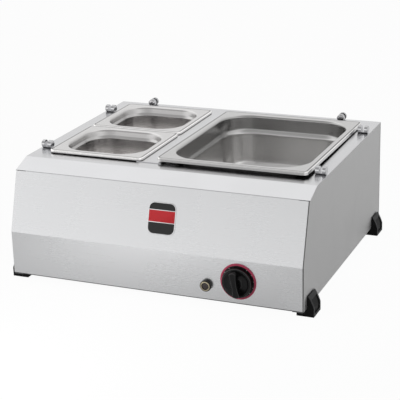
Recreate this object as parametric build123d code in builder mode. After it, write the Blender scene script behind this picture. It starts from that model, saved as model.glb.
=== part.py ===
"""Counter-top sausage warmer: a heated water tank in a steel casing, with lift-out food pans."""

import os
from math import cos, radians, sin

from build123d import *

os.makedirs("parts", exist_ok=True)

# Casing sheets, in millimetres; the front is at -Y and the table at Z zero
casing_width = 523.0
casing_depth = 456.0
casing_lift = 13.0
deck_height = 203.0
sheet = 1.2
bend_radius = 2.5
strip_bend_y = -158.0
seam_y = -197.0
seam_z = 189.0
face_bend_z = 88.5
tuck_length = 16.0
side_flange = 16.0
side_bend = 2.4
panel_gap = 0.1
weld_gap = 0.05
base_flange = 16.0
rear_return = 14.0
half_width = casing_width / 2
front_y = -casing_depth / 2
rear_y = casing_depth / 2
inner_half = half_width - sheet - 0.3
tuck_half = half_width - side_flange - 3.0
panel_half = half_width - 1.9

# Food pans, to the gastronorm sizes 1/2 and 1/6
pan_left_x = -232.0
pan_front_y = -131.0
large_width = 265.0
large_depth = 325.0
small_width = 176.0
small_depth = 162.0
bar_gap = 27.0
pan_gap = 1.0
pan_sheet = 0.8
pan_inside_depth = 100.0
rim_flat = 9.0
rim_corner = 9.0
rim_bend = 2.0
large_mouth_corner = 58.0
small_mouth_corner = 48.0
large_lip = 5.8
small_lip = 4.8
pan_seat = 1.6
large_front_rise = 3.0
mouth_bend = 4.9
large_wall_lean = 1.4
large_shoulder_drop = 27.0
large_shoulder_step = 3.2
large_shoulder_height = 7.0
large_shoulder_bend = 9.0
small_wall_lean = 3.0
small_shoulder_drop = 10.5
small_shoulder_step = 2.4
small_shoulder_height = 4.5
small_shoulder_bend = 2.0
floor_inset = 13.9
floor_bend = 18.0
floor_reach = 40.0

# Deck opening, water tank and the bar across it
opening_ledge = 10.5
tank_corner = 5.0
tank_sheet = 1.0
tank_floor_z = 70.0
tank_floor_bend = 4.0
tank_flange = 12.0
bar_overlap = 9.0
bar_flange = 14.0
bar_end_clear = 2.5

# Controls on the upright part of the front panel
knob_x = 152.4
knob_z = 52.6
knob_tilt = 9.0
knob_radius = 25.0
knob_gap = 2.0
knob_skirt = 8.5
skirt_edge = 2.0
dish_middle = 15.5
dish_radius = 12.0
dish_depth = 2.0
knob_reach = 21.0
grip_width = 13.5
grip_waist = 2.0
grip_length = 44.0
grip_crown = 3.5
grip_taper = 3.0
grip_edge = 1.6
ring_outer_radius = 30.5
ring_inner_radius = 20.0
ring_height = 1.5
ring_rim = 3.1
ring_recess = 0.5
ring_edge = 0.6
shaft_radius = 3.0
shaft_hole_radius = 5.0
shaft_depth_in_knob = 12.0
thermostat_width = 38.0
thermostat_height = 34.0
thermostat_depth = 26.0
thermostat_screw_spacing = 28.0
lamp_x = 97.5
lamp_z = 39.5
lamp_radius = 9.5
lamp_reach = 7.5
lamp_ring_radius = 8.2
lamp_ring_height = 1.0
lamp_lens_radius = 6.0
lamp_body_radius = 6.2
lamp_body_depth = 26.0
badge_x = 15.7
badge_z = 138.4
badge_width = 49.0
badge_height = 53.0
badge_corner = 11.0
badge_thickness = 1.2

# Heating and wiring inside
element_radius = 4.25
element_z = 86.0
element_bend = 25.0
element_left_x = 40.0
element_right_x = 90.0
element_reach_x = 190.0
element_front_y = -70.0
element_rear_y = 135.0
element_tail = 30.0
gland_thread_radius = 6.8
gland_collar_radius = 9.0
bulb_radius = 3.0
bulb_length = 80.0
bulb_x = 60.0
bulb_y = -40.0
capillary_radius = 1.0
capillary_low_z = 44.0
clip_sheet = 0.8
clip_width = 12.0
block_x = 150.0
block_y = 170.0
block_width = 48.0
block_depth = 20.0
block_height = 16.0
block_poles = 3
block_pitch = 14.0
lead_radius = 1.3
cord_x = 150.0
cord_z = 46.0
cord_bore_radius = 4.5
gland_radius = 10.5
gland_reach = 25.0
gland_sleeve_radius = 7.8

# Feet
foot_length = 36.0
foot_inset = 35.0
foot_outboard = 11.5
foot_inboard = 17.5
foot_gap = 0.2
foot_knee_z = 14.5
foot_tip_z = 35.0
foot_tip_out = 2.0
foot_inner_z = 26.0
foot_recess = 1.6
foot_border = 5.0
foot_edge = 0.8
foot_bore = 6.0
foot_screw_in = 8.0

# Clamps for a glass guard
clamp_radius = 7.0
clamp_axis_height = 6.5
clamp_length = 19.0
clamp_slot = 6.0
clamp_outer_jaw = 6.0
clamp_slot_floor = 3.0
clamp_side_x = 250.0
clamp_front_y = -101.0
clamp_rear_y = 150.0
clamp_back_x = 190.5
clamp_back_y = 217.5
grub_radius = 2.5
grub_clearance = 0.05
grub_length = 8.0
grub_socket = 2.6

# Small screws
screw_radius = 1.6
screw_hole_radius = 1.7
screw_head_radius = 3.5
screw_head_height = 2.0
screw_length = 7.0

control_plane = Plane(origin=(0, front_y, 0), x_dir=(1, 0, 0), z_dir=(0, -1, 0))
rear_plane = Plane(origin=(0, rear_y, 0), x_dir=(-1, 0, 0), z_dir=(0, 1, 0))
table_plane = Plane(origin=(0, 0, 0), x_dir=(1, 0, 0), z_dir=(0, 0, -1))


def write(builder, name):
    """Label a finished piece and write it to its own file."""
    builder.part.label = name
    export_step(builder.part, f"parts/{name}.step")


# Places worked out from the driving sizes
strip_bend = Vector(strip_bend_y, deck_height)
seam = Vector(seam_y, seam_z)
face_bend = Vector(front_y, face_bend_z)
front_foot = Vector(front_y, casing_lift)
slope = (face_bend - seam).normalized()
strip_run = (seam - strip_bend).normalized()
fold = seam - strip_run * ((sheet + 0.1) / sin(radians(slope.get_angle(strip_run))))
deck_back = Vector(rear_y, deck_height)
base_top = casing_lift + 2 * sheet

pans_width = small_width + bar_gap + large_width
opening_width = pans_width - 2 * opening_ledge
opening_depth = large_depth - 2 * opening_ledge
opening_x = pan_left_x + pans_width / 2
opening_y = pan_front_y + large_depth / 2
tank_front_y = opening_y - opening_depth / 2 - tank_sheet

small_x = pan_left_x + small_width / 2
large_x = pan_left_x + small_width + bar_gap + large_width / 2
small_front_y = pan_front_y + small_depth / 2
small_rear_y = small_front_y + small_depth + pan_gap

foot_y = casing_depth / 2 - foot_inset
foot_screw_x = half_width - foot_screw_in
foot_screw_points = [(x, y) for x in (-foot_screw_x, foot_screw_x) for y in (-foot_y, foot_y)]

clamp_places = {
    "left_front": (-clamp_side_x, clamp_front_y, 0.0),
    "left_rear": (-clamp_side_x, clamp_rear_y, 0.0),
    "right_front": (clamp_side_x, clamp_front_y, 180.0),
    "right_rear": (clamp_side_x, clamp_rear_y, 180.0),
    "back_left": (-clamp_back_x, clamp_back_y, -90.0),
    "back_right": (clamp_back_x, clamp_back_y, -90.0),
}
clamp_points = [place[:2] for place in clamp_places.values()]

side_screw_x = half_width - sheet - rear_return / 2
rear_screw_points = [(x, z) for x in (-side_screw_x, side_screw_x) for z in (45.0, 110.0, 175.0)]
rear_screw_points += [(x, deck_height - 9.0) for x in (-120.0, 0.0, 120.0)]
base_screw_points = [(x, front_y + 10.0) for x in (-120.0, 120.0)]
base_screw_points += [(x, y) for x in (-foot_screw_x, foot_screw_x) for y in (-75.0, 75.0)]
thermostat_screw_points = [
    (knob_x - thermostat_screw_spacing / 2, knob_z),
    (knob_x + thermostat_screw_spacing / 2, knob_z),
]

# Top deck: flat top, slanted strip and the tuck behind the front panel, in one sheet
with BuildPart() as top_deck:
    with BuildSketch(Plane.YZ):
        with BuildLine():
            FilletPolyline(deck_back, strip_bend, fold, fold + slope * tuck_length, radius=bend_radius)
            offset(amount=sheet, side=Side.LEFT)
        make_face()
    extrude(amount=tuck_half, both=True)
    for end_x in (-half_width, tuck_half):
        with BuildSketch(Plane.YZ.offset(end_x)):
            with BuildLine():
                FilletPolyline(deck_back, strip_bend, fold, radius=bend_radius)
                offset(amount=sheet, side=Side.LEFT)
            make_face()
        extrude(amount=half_width - tuck_half)
    with BuildSketch(rear_plane.offset(-sheet)):
        with Locations((0, deck_height - sheet - rear_return / 2)):
            Rectangle(casing_width - 4 * rear_return, rear_return)
    extrude(amount=-sheet)
    with BuildSketch(Plane.XY.offset(deck_height)):
        with Locations((opening_x, opening_y)):
            RectangleRounded(opening_width, opening_depth, tank_corner)
    extrude(amount=-2 * sheet, mode=Mode.SUBTRACT)
    with BuildSketch(Plane.XY.offset(deck_height)):
        with Locations(*clamp_points):
            Circle(screw_hole_radius)
    extrude(amount=-2 * sheet, mode=Mode.SUBTRACT)
    with BuildSketch(rear_plane):
        with Locations(*[(-x, z) for x, z in rear_screw_points]):
            Circle(screw_hole_radius)
    extrude(amount=-3 * sheet, mode=Mode.SUBTRACT)
write(top_deck, "top_deck")

# Front panel: sloped face and upright control face over the whole width, with a bottom return
with BuildPart() as front_panel:
    with BuildSketch(Plane.YZ):
        with BuildLine():
            FilletPolyline(
                seam,
                face_bend,
                front_foot,
                front_foot + Vector(base_flange + sheet, 0),
                radius=bend_radius,
            )
            offset(amount=sheet, side=Side.LEFT)
        make_face()
    extrude(amount=tuck_half, both=True)
    for end_x in (-panel_half, tuck_half):
        with BuildSketch(Plane.YZ.offset(end_x)):
            with BuildLine():
                FilletPolyline(seam, face_bend, front_foot, radius=bend_radius)
                offset(amount=sheet, side=Side.LEFT)
            make_face()
        extrude(amount=panel_half - tuck_half)
    with BuildSketch(control_plane):
        with Locations((knob_x, knob_z)):
            Circle(shaft_hole_radius)
        with Locations(*thermostat_screw_points):
            Circle(screw_hole_radius)
        with Locations((lamp_x, lamp_z)):
            Circle(lamp_body_radius + 0.1)
    extrude(amount=-2 * sheet, mode=Mode.SUBTRACT)
    with BuildSketch(table_plane.offset(-casing_lift)):
        with Locations(*[(x, -y) for x, y in base_screw_points]):
            Circle(screw_hole_radius)
    extrude(amount=-2 * sheet, mode=Mode.SUBTRACT)
write(front_panel, "front_panel")


def make_side_panel(name, side):
    """A side sheet with its front, bottom and rear edges bent inward, open along the deck.

    Args:
        name: node name of the panel.
        side: 1 for the right panel, -1 for the left one.
    """
    with BuildPart() as panel:
        with BuildSketch(Plane.YZ.offset(side * half_width)):
            with BuildLine():
                Polyline(
                    (rear_y - sheet, casing_lift),
                    (rear_y - sheet, deck_height),
                    strip_bend,
                    seam,
                    face_bend,
                    front_foot,
                    close=True,
                )
            make_face()
            with BuildLine():
                Polyline(deck_back, strip_bend, seam + strip_run)
                offset(amount=sheet + weld_gap, side=Side.LEFT, kind=Kind.INTERSECTION)
            make_face(mode=Mode.SUBTRACT)
            with BuildLine():
                Polyline(seam - slope * tuck_length, face_bend, front_foot + Vector(0, -1))
                offset(amount=sheet + panel_gap, side=Side.LEFT, kind=Kind.INTERSECTION)
            make_face(mode=Mode.SUBTRACT)
        extrude(amount=-side * side_flange)
        outer_face = panel.faces().sort_by(Axis.X)[-1 if side > 0 else 0]
        inner_face = panel.faces().sort_by(Axis.X)[0 if side > 0 else -1]
        fillet(outer_face.edges().sort_by(Axis.Z)[:-2], side_bend)
        deck_faces = panel.faces().filter_by(lambda face: face.normal_at().Z > 0.5)
        offset(amount=-sheet, openings=[inner_face, *deck_faces])
        with BuildSketch(rear_plane):
            with Locations(*[(-x, z) for x, z in rear_screw_points]):
                Circle(screw_hole_radius)
        extrude(amount=-3 * sheet, mode=Mode.SUBTRACT)
        with BuildSketch(table_plane.offset(-casing_lift)):
            with Locations(*[(x, -y) for x, y in base_screw_points + foot_screw_points]):
                Circle(screw_hole_radius)
        extrude(amount=-2 * sheet, mode=Mode.SUBTRACT)
    write(panel, name)


make_side_panel("left_side_panel", -1)
make_side_panel("right_side_panel", 1)

# Rear panel: a flat cover with the hole for the cable gland
with BuildPart() as rear_panel:
    with BuildSketch(rear_plane):
        with Locations((0, (deck_height - sheet + casing_lift) / 2)):
            Rectangle(casing_width, deck_height - sheet - casing_lift)
        with Locations(*[(-x, z) for x, z in rear_screw_points]):
            Circle(screw_hole_radius, mode=Mode.SUBTRACT)
        with Locations((-cord_x, cord_z)):
            Circle(gland_sleeve_radius + 0.2, mode=Mode.SUBTRACT)
    extrude(amount=-sheet)
    with BuildSketch(Plane.XY.offset(casing_lift)):
        with Locations((0, rear_y - sheet - base_flange / 2)):
            Rectangle(casing_width - 4 * base_flange, base_flange)
    extrude(amount=sheet)
write(rear_panel, "rear_panel")

# Base plate: lies on the returns of the panels, with two rows of air slots
slot_length = 44.0
slot_width = 5.0
slot_pitch = 13.0
slot_count = 9
slot_row_y = 70.0
with BuildPart() as base_plate:
    with BuildSketch(Plane.XY.offset(casing_lift + sheet)):
        Rectangle(2 * inner_half - 2, casing_depth - 6 * sheet)
        for row_y in (-slot_row_y, slot_row_y):
            with Locations((0, row_y)):
                with GridLocations(slot_pitch, 1, slot_count, 1):
                    SlotOverall(slot_length, slot_width, rotation=90, mode=Mode.SUBTRACT)
        with Locations(*base_screw_points, *foot_screw_points):
            Circle(screw_hole_radius, mode=Mode.SUBTRACT)
    extrude(amount=sheet)
write(base_plate, "base_plate")

# Water tank: a folded and welded tray hung under the deck opening
with BuildPart() as water_tank:
    with BuildSketch(Plane.XY.offset(tank_floor_z - tank_sheet)):
        with Locations((opening_x, opening_y)):
            RectangleRounded(
                opening_width + 2 * tank_sheet,
                opening_depth + 2 * tank_sheet,
                tank_corner + tank_sheet,
            )
    extrude(amount=deck_height - sheet - tank_floor_z + tank_sheet)
    fillet(water_tank.faces().sort_by(Axis.Z)[0].edges(), tank_floor_bend)
    offset(amount=-tank_sheet, openings=water_tank.faces().sort_by(Axis.Z)[-1])
    with BuildSketch(Plane.XY.offset(deck_height - sheet)):
        with Locations((opening_x, opening_y)):
            RectangleRounded(
                opening_width + 2 * tank_flange,
                opening_depth + 2 * tank_flange,
                tank_corner + tank_flange,
            )
            RectangleRounded(opening_width, opening_depth, tank_corner, mode=Mode.SUBTRACT)
    extrude(amount=-tank_sheet)
    with BuildSketch(Plane.XZ.offset(-tank_front_y - 5 * tank_sheet)):
        with Locations((element_left_x, element_z), (element_right_x, element_z)):
            Circle(gland_thread_radius + 0.1)
    extrude(amount=10 * tank_sheet, mode=Mode.SUBTRACT)
write(water_tank, "water_tank")

# Support bar: a plate on the deck between the pans, stiffened by two flanges inside the opening
bar_left_x = pan_left_x + small_width - bar_overlap
bar_width = bar_gap + 2 * bar_overlap
bar_x = bar_left_x + bar_width / 2
with BuildPart() as pan_support_bar:
    with BuildSketch(Plane.XY.offset(deck_height)):
        with Locations((bar_x, opening_y)):
            Rectangle(bar_width, large_depth)
    extrude(amount=sheet)
    with BuildSketch(Plane.XY.offset(deck_height + sheet)):
        for flange_x in (bar_left_x + sheet / 2, bar_left_x + bar_width - sheet / 2):
            with Locations((flange_x, opening_y)):
                Rectangle(sheet, opening_depth - 2 * bar_end_clear)
    extrude(amount=-bar_flange)
write(pan_support_bar, "pan_support_bar")


def rim_block(rim_plane, width, depth, corner, height, bend):
    """A rounded plate under the rim plane with its upper edge rounded over."""
    with BuildPart() as block:
        with BuildSketch(rim_plane):
            RectangleRounded(width, depth, corner)
        extrude(amount=-height)
        upward = Axis(rim_plane.origin, rim_plane.z_dir)
        fillet(block.faces().sort_by(upward)[-1].edges(), bend)
    return block.part


def make_pan(
    name,
    width,
    depth,
    mouth_corner,
    lip,
    lean,
    shoulder_drop,
    shoulder_step,
    shoulder_height,
    shoulder_bend,
    rim_plane,
):
    """A drawn pan: flat rim with a turned-down lip, stacking shoulder, tapered walls, rounded floor.

    Args:
        name: node name of the pan.
        width: rim size along X.
        depth: rim size along Y.
        mouth_corner: corner radius of the mouth at the rim's flat.
        lip: height of the rim from its top to the lower edge of the lip.
        lean: how far the wall leans in above the stacking shoulder.
        shoulder_drop: depth at which the shoulder starts.
        shoulder_step: how far the shoulder steps in.
        shoulder_height: height of the sloped shoulder.
        shoulder_bend: radius of the bends into and out of the shoulder.
        rim_plane: plane of the rim's top face, centred on the pan.
    """
    mouth_width = width - 2 * rim_flat
    mouth_depth = depth - 2 * rim_flat
    with BuildSketch(rim_plane) as mouth:
        RectangleRounded(mouth_width, mouth_depth, mouth_corner)
    path = mouth.sketch.faces()[0].outer_wire()
    along = path % 0
    section_plane = Plane(origin=path @ 0, x_dir=along.cross(rim_plane.z_dir), z_dir=along)
    under_rim = rim_block(
        rim_plane.offset(-pan_sheet),
        width - 2 * pan_sheet,
        depth - 2 * pan_sheet,
        rim_corner - pan_sheet,
        lip,
        rim_bend - pan_sheet,
    )
    with BuildPart() as pan:
        add(rim_block(rim_plane, width, depth, rim_corner, lip, rim_bend))
        add(under_rim, mode=Mode.SUBTRACT)
        with BuildSketch(rim_plane):
            RectangleRounded(mouth_width, mouth_depth, mouth_corner)
        extrude(amount=-lip, mode=Mode.SUBTRACT)
        with BuildSketch(section_plane):
            with BuildLine():
                FilletPolyline(
                    (0, 0),
                    (-mouth_bend - 0.1, 0),
                    (-mouth_bend - lean, shoulder_drop),
                    (-mouth_bend - lean - shoulder_step, shoulder_drop + shoulder_height),
                    (-floor_inset, pan_inside_depth),
                    (-floor_reach, pan_inside_depth),
                    radius=[mouth_bend, shoulder_bend, shoulder_bend, floor_bend],
                )
                offset(amount=pan_sheet, side=Side.RIGHT)
            make_face()
        sweep(path=path)
        with BuildSketch(rim_plane.offset(-pan_inside_depth)):
            RectangleRounded(
                mouth_width - 2 * floor_reach,
                mouth_depth - 2 * floor_reach,
                mouth_corner - floor_reach,
            )
        extrude(amount=-pan_sheet)
    write(pan, name)


small_rim_z = deck_height + pan_seat + small_lip
large_rim_z = deck_height + pan_seat + large_lip + large_front_rise / 2
large_lean = -large_front_rise / large_depth
large_up = Vector(0, -sin(large_lean), cos(large_lean))
make_pan(
    "large_pan",
    large_width,
    large_depth,
    large_mouth_corner,
    large_lip,
    large_wall_lean,
    large_shoulder_drop,
    large_shoulder_step,
    large_shoulder_height,
    large_shoulder_bend,
    Plane(origin=(large_x, opening_y, large_rim_z), x_dir=(1, 0, 0), z_dir=large_up),
)
for pan_name, pan_y in (("small_pan_front", small_front_y), ("small_pan_rear", small_rear_y)):
    make_pan(
        pan_name,
        small_width,
        small_depth,
        small_mouth_corner,
        small_lip,
        small_wall_lean,
        small_shoulder_drop,
        small_shoulder_step,
        small_shoulder_height,
        small_shoulder_bend,
        Plane(origin=(small_x, pan_y, small_rim_z), x_dir=(1, 0, 0), z_dir=(0, 0, 1)),
    )

# Thermostat knob: a round skirt dished around an upright grip bar with hollowed sides
knob_axis = Axis((knob_x, front_y, knob_z), (0, 1, 0))
grip_root = knob_gap + knob_skirt - 2 * dish_depth
grip_plane = Plane(
    origin=(knob_x, front_y - grip_root, knob_z),
    x_dir=(cos(radians(knob_tilt)), 0, sin(radians(knob_tilt))),
    z_dir=(0, -1, 0),
)
grip_side = grip_width / 2
grip_end = grip_length / 2
with BuildPart() as thermostat_knob:
    with BuildSketch(control_plane.offset(knob_gap)):
        with Locations((knob_x, knob_z)):
            Circle(knob_radius)
    extrude(amount=knob_skirt)
    fillet(thermostat_knob.faces().sort_by(Axis.Y)[0].edges(), skirt_edge)
    with BuildSketch(Plane(origin=(knob_x, front_y - knob_gap - knob_skirt, knob_z))):
        with Locations((dish_middle, dish_depth - dish_radius)):
            Circle(dish_radius)
    revolve(axis=knob_axis, mode=Mode.SUBTRACT)
    with BuildSketch(grip_plane):
        with BuildLine():
            for way in (1, -1):
                corner_ahead = (way * grip_side, way * (grip_end - grip_crown))
                corner_behind = (way * grip_side, -way * (grip_end - grip_crown))
                next_corner = (-way * grip_side, way * (grip_end - grip_crown))
                ThreePointArc(corner_behind, (way * (grip_side - grip_waist), 0), corner_ahead)
                ThreePointArc(corner_ahead, (0, way * grip_end), next_corner)
        make_face()
    extrude(amount=knob_reach - grip_root, taper=grip_taper)
    fillet(thermostat_knob.faces().sort_by(Axis.Y)[0].edges(), grip_edge)
    with BuildSketch(control_plane.offset(knob_gap)):
        with Locations((knob_x, knob_z)):
            Circle(shaft_radius)
    extrude(amount=shaft_depth_in_knob, mode=Mode.SUBTRACT)
write(thermostat_knob, "thermostat_knob")

# Knob ring: a dial on the panel behind the knob, with a raised rim around it
with BuildPart() as knob_ring:
    with BuildSketch(control_plane):
        with Locations((knob_x, knob_z)):
            Circle(ring_outer_radius)
            Circle(ring_inner_radius, mode=Mode.SUBTRACT)
    extrude(amount=ring_height)
    with BuildSketch(control_plane.offset(ring_height)):
        with Locations((knob_x, knob_z)):
            Circle(ring_outer_radius - ring_rim)
    extrude(amount=-ring_recess, mode=Mode.SUBTRACT)
    fillet(knob_ring.faces().sort_by(Axis.Y)[0].outer_wire().edges(), ring_edge)
write(knob_ring, "knob_ring")

# Thermostat body behind the panel, its shaft and its two screws
with BuildPart() as thermostat_body:
    with BuildSketch(control_plane.offset(-sheet)):
        with Locations((knob_x, knob_z)):
            RectangleRounded(thermostat_width, thermostat_height, 3)
    extrude(amount=-thermostat_depth)
    with BuildSketch(control_plane.offset(-sheet)):
        with Locations((knob_x, knob_z)):
            Circle(shaft_radius + grub_clearance)
        with Locations(*thermostat_screw_points):
            Circle(screw_hole_radius)
    extrude(amount=-12, mode=Mode.SUBTRACT)
    with BuildSketch(control_plane.offset(-sheet - thermostat_depth)):
        with Locations((knob_x - 10, knob_z + 11), (knob_x + 10, knob_z + 11)):
            Rectangle(6.3, 0.8)
    extrude(amount=-8)
write(thermostat_body, "thermostat_body")

with BuildPart() as thermostat_shaft:
    with BuildSketch(control_plane.offset(knob_gap + shaft_depth_in_knob)):
        with Locations((knob_x, knob_z)):
            Circle(shaft_radius)
    extrude(amount=-(knob_gap + shaft_depth_in_knob + sheet + 11))
write(thermostat_shaft, "thermostat_shaft")

with BuildPart() as thermostat_screws:
    with BuildSketch(control_plane):
        with Locations(*thermostat_screw_points):
            Circle(screw_head_radius)
    extrude(amount=1.4)
    with BuildSketch(control_plane):
        with Locations(*thermostat_screw_points):
            Circle(screw_radius)
    extrude(amount=-screw_length)
write(thermostat_screws, "thermostat_screws")

# Pilot lamp: sleeve, bright ring, lens, body behind the panel and its nut
with BuildPart() as lamp_sleeve:
    with BuildSketch(control_plane):
        with Locations((lamp_x, lamp_z)):
            Circle(lamp_radius)
    extrude(amount=lamp_reach - lamp_ring_height)
    chamfer(lamp_sleeve.faces().sort_by(Axis.Y)[0].edges(), 0.8)
    with BuildSketch(control_plane.offset(lamp_reach - lamp_ring_height)):
        with Locations((lamp_x, lamp_z)):
            Circle(lamp_lens_radius + 0.1)
    extrude(amount=-3.0, mode=Mode.SUBTRACT)
write(lamp_sleeve, "lamp_sleeve")

with BuildPart() as lamp_ring:
    with BuildSketch(control_plane.offset(lamp_reach - lamp_ring_height)):
        with Locations((lamp_x, lamp_z)):
            Circle(lamp_ring_radius)
            Circle(lamp_lens_radius + 0.1, mode=Mode.SUBTRACT)
    extrude(amount=lamp_ring_height)
    fillet(lamp_ring.faces().sort_by(Axis.Y)[0].outer_wire().edges(), 0.6)
write(lamp_ring, "lamp_ring")

with BuildPart() as lamp_lens:
    with BuildSketch(control_plane.offset(lamp_reach - lamp_ring_height - 3.0)):
        with Locations((lamp_x, lamp_z)):
            Circle(lamp_lens_radius)
    extrude(amount=3.6)
    fillet(lamp_lens.faces().sort_by(Axis.Y)[0].edges(), 1.5)
write(lamp_lens, "lamp_lens")

with BuildPart() as lamp_body:
    with BuildSketch(control_plane):
        with Locations((lamp_x, lamp_z)):
            Circle(lamp_body_radius)
    extrude(amount=-lamp_body_depth)
    with BuildSketch(control_plane.offset(-lamp_body_depth)):
        with Locations((lamp_x - 2.5, lamp_z), (lamp_x + 2.5, lamp_z)):
            Rectangle(0.8, 4.8)
    extrude(amount=-7)
write(lamp_body, "lamp_body")

with BuildPart() as lamp_nut:
    with BuildSketch(control_plane.offset(-sheet)):
        with Locations((lamp_x, lamp_z)):
            RegularPolygon(10.0, 6)
            Circle(lamp_body_radius + 0.05, mode=Mode.SUBTRACT)
    extrude(amount=-4)
write(lamp_nut, "lamp_nut")

# Badge place: a plain rounded plate on the sloped face
slope_out = Vector(0, slope.Y, -slope.X)
badge_y = seam_y + (badge_z - seam_z) * slope.X / slope.Y
badge_plane = Plane(origin=(badge_x, badge_y, badge_z), x_dir=(1, 0, 0), z_dir=slope_out)
with BuildPart() as badge_plate:
    with BuildSketch(badge_plane):
        RectangleRounded(badge_width, badge_height, badge_corner)
    extrude(amount=badge_thickness)
    chamfer(badge_plate.faces().sort_by(Axis.Y)[0].outer_wire().edges(), 0.4)
write(badge_plate, "badge_plate")

# Heating element: a bent tube a little above the tank floor, entering through the front wall
element_end_y = tank_front_y - element_tail
with BuildPart() as heating_element:
    with BuildLine(Plane.XY.offset(element_z)) as element_path:
        FilletPolyline(
            (element_left_x, element_end_y),
            (element_left_x, element_front_y),
            (-element_reach_x, element_front_y),
            (-element_reach_x, element_rear_y),
            (element_reach_x, element_rear_y),
            (element_reach_x, element_front_y),
            (element_right_x, element_front_y),
            (element_right_x, element_end_y),
            radius=element_bend,
        )
    element_start = Plane(
        origin=(element_left_x, element_end_y, element_z), x_dir=(1, 0, 0), z_dir=(0, 1, 0)
    )
    with BuildSketch(element_start):
        Circle(element_radius)
    sweep(path=element_path.line)
    with BuildSketch(Plane.XZ.offset(-element_end_y)):
        with Locations((element_left_x, element_z), (element_right_x, element_z)):
            Circle(1.6)
    extrude(amount=9)
write(heating_element, "heating_element")

# Element glands: threaded sleeves through the tank wall with a hexagon outside and a collar inside
with BuildPart() as element_glands:
    gland_points = ((element_left_x, element_z), (element_right_x, element_z))
    with BuildSketch(Plane.XZ.offset(-tank_front_y)):
        with Locations(*gland_points):
            RegularPolygon(11.0, 6)
            Circle(element_radius, mode=Mode.SUBTRACT)
    extrude(amount=7)
    with BuildSketch(Plane.XZ.offset(-tank_front_y)):
        with Locations(*gland_points):
            Circle(gland_thread_radius)
            Circle(element_radius, mode=Mode.SUBTRACT)
    extrude(amount=-tank_sheet)
    with BuildSketch(Plane.XZ.offset(-tank_front_y - tank_sheet)):
        with Locations(*gland_points):
            Circle(gland_collar_radius)
            Circle(element_radius, mode=Mode.SUBTRACT)
    extrude(amount=-3)
write(element_glands, "element_glands")

# Sensing bulb under the tank floor, its clip and the capillary tube from the thermostat
bulb_z = tank_floor_z - tank_sheet - bulb_radius - 0.1
bulb_end_x = bulb_x + bulb_length / 2
with BuildPart() as sensor_bulb:
    with BuildSketch(Plane.YZ.offset(bulb_x - bulb_length / 2)):
        with Locations((bulb_y, bulb_z)):
            Circle(bulb_radius)
    extrude(amount=bulb_length)
    fillet(sensor_bulb.edges(), 1.2)
write(sensor_bulb, "sensor_bulb")

with BuildPart() as bulb_clip:
    with BuildSketch(Plane.YZ.offset(bulb_x - clip_width / 2)):
        strap_radius = bulb_radius + 0.1 + clip_sheet
        with Locations((bulb_y, bulb_z)):
            Circle(strap_radius)
        with Locations((bulb_y, tank_floor_z - tank_sheet - strap_radius / 2)):
            Rectangle(2 * strap_radius, strap_radius)
        with Locations((bulb_y, tank_floor_z - tank_sheet - clip_sheet / 2)):
            Rectangle(6 * strap_radius, clip_sheet)
        with Locations((bulb_y, bulb_z)):
            Circle(bulb_radius + 0.1, mode=Mode.SUBTRACT)
        with Locations((bulb_y, tank_floor_z - tank_sheet)):
            Rectangle(2 * bulb_radius + 0.2, 2 * bulb_radius + 0.2, mode=Mode.SUBTRACT)
    extrude(amount=clip_width)
write(bulb_clip, "bulb_clip")

thermostat_back_y = front_y + sheet + thermostat_depth
with BuildPart() as capillary_tube:
    with BuildLine() as capillary_path:
        FilletPolyline(
            (knob_x, thermostat_back_y, capillary_low_z),
            (knob_x, bulb_y, capillary_low_z),
            (knob_x, bulb_y, bulb_z),
            (bulb_end_x, bulb_y, bulb_z),
            radius=8,
        )
    with BuildSketch(control_plane.offset(-sheet - thermostat_depth)):
        with Locations((knob_x, capillary_low_z)):
            Circle(capillary_radius)
    sweep(path=capillary_path.line)
write(capillary_tube, "capillary_tube")

# Terminal block on the base plate
with BuildPart() as terminal_block:
    with BuildSketch(Plane.XY.offset(base_top)):
        with Locations((block_x, block_y)):
            Rectangle(block_width, block_depth)
    extrude(amount=block_height)
    with BuildSketch(Plane.XY.offset(base_top + block_height)):
        with Locations((block_x, block_y)):
            with GridLocations(block_pitch, 10, block_poles, 2):
                Circle(2.6)
    extrude(amount=-9, mode=Mode.SUBTRACT)
    chamfer(terminal_block.faces().sort_by(Axis.Z)[-1].outer_wire().edges(), 1.0)
write(terminal_block, "terminal_block")

# Cable gland through the rear panel and its lock nut; the bore takes the mains cord
with BuildPart() as cable_gland:
    with BuildSketch(rear_plane):
        with Locations((-cord_x, cord_z)):
            RegularPolygon(13.0, 6)
    extrude(amount=7)
    with BuildSketch(rear_plane.offset(7)):
        with Locations((-cord_x, cord_z)):
            Circle(gland_radius)
    extrude(amount=gland_reach - 7)
    fillet(cable_gland.faces().sort_by(Axis.Y)[-1].edges(), 4.0)
    with BuildSketch(rear_plane):
        with Locations((-cord_x, cord_z)):
            Circle(gland_sleeve_radius)
    extrude(amount=-sheet - 10)
    with BuildSketch(rear_plane.offset(gland_reach)):
        with Locations((-cord_x, cord_z)):
            Circle(cord_bore_radius)
    extrude(amount=-gland_reach - sheet - 10, mode=Mode.SUBTRACT)
write(cable_gland, "cable_gland")

with BuildPart() as gland_lock_nut:
    with BuildSketch(rear_plane.offset(-sheet)):
        with Locations((-cord_x, cord_z)):
            RegularPolygon(13.0, 6)
            Circle(gland_sleeve_radius, mode=Mode.SUBTRACT)
    extrude(amount=-5)
write(gland_lock_nut, "gland_lock_nut")


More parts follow.
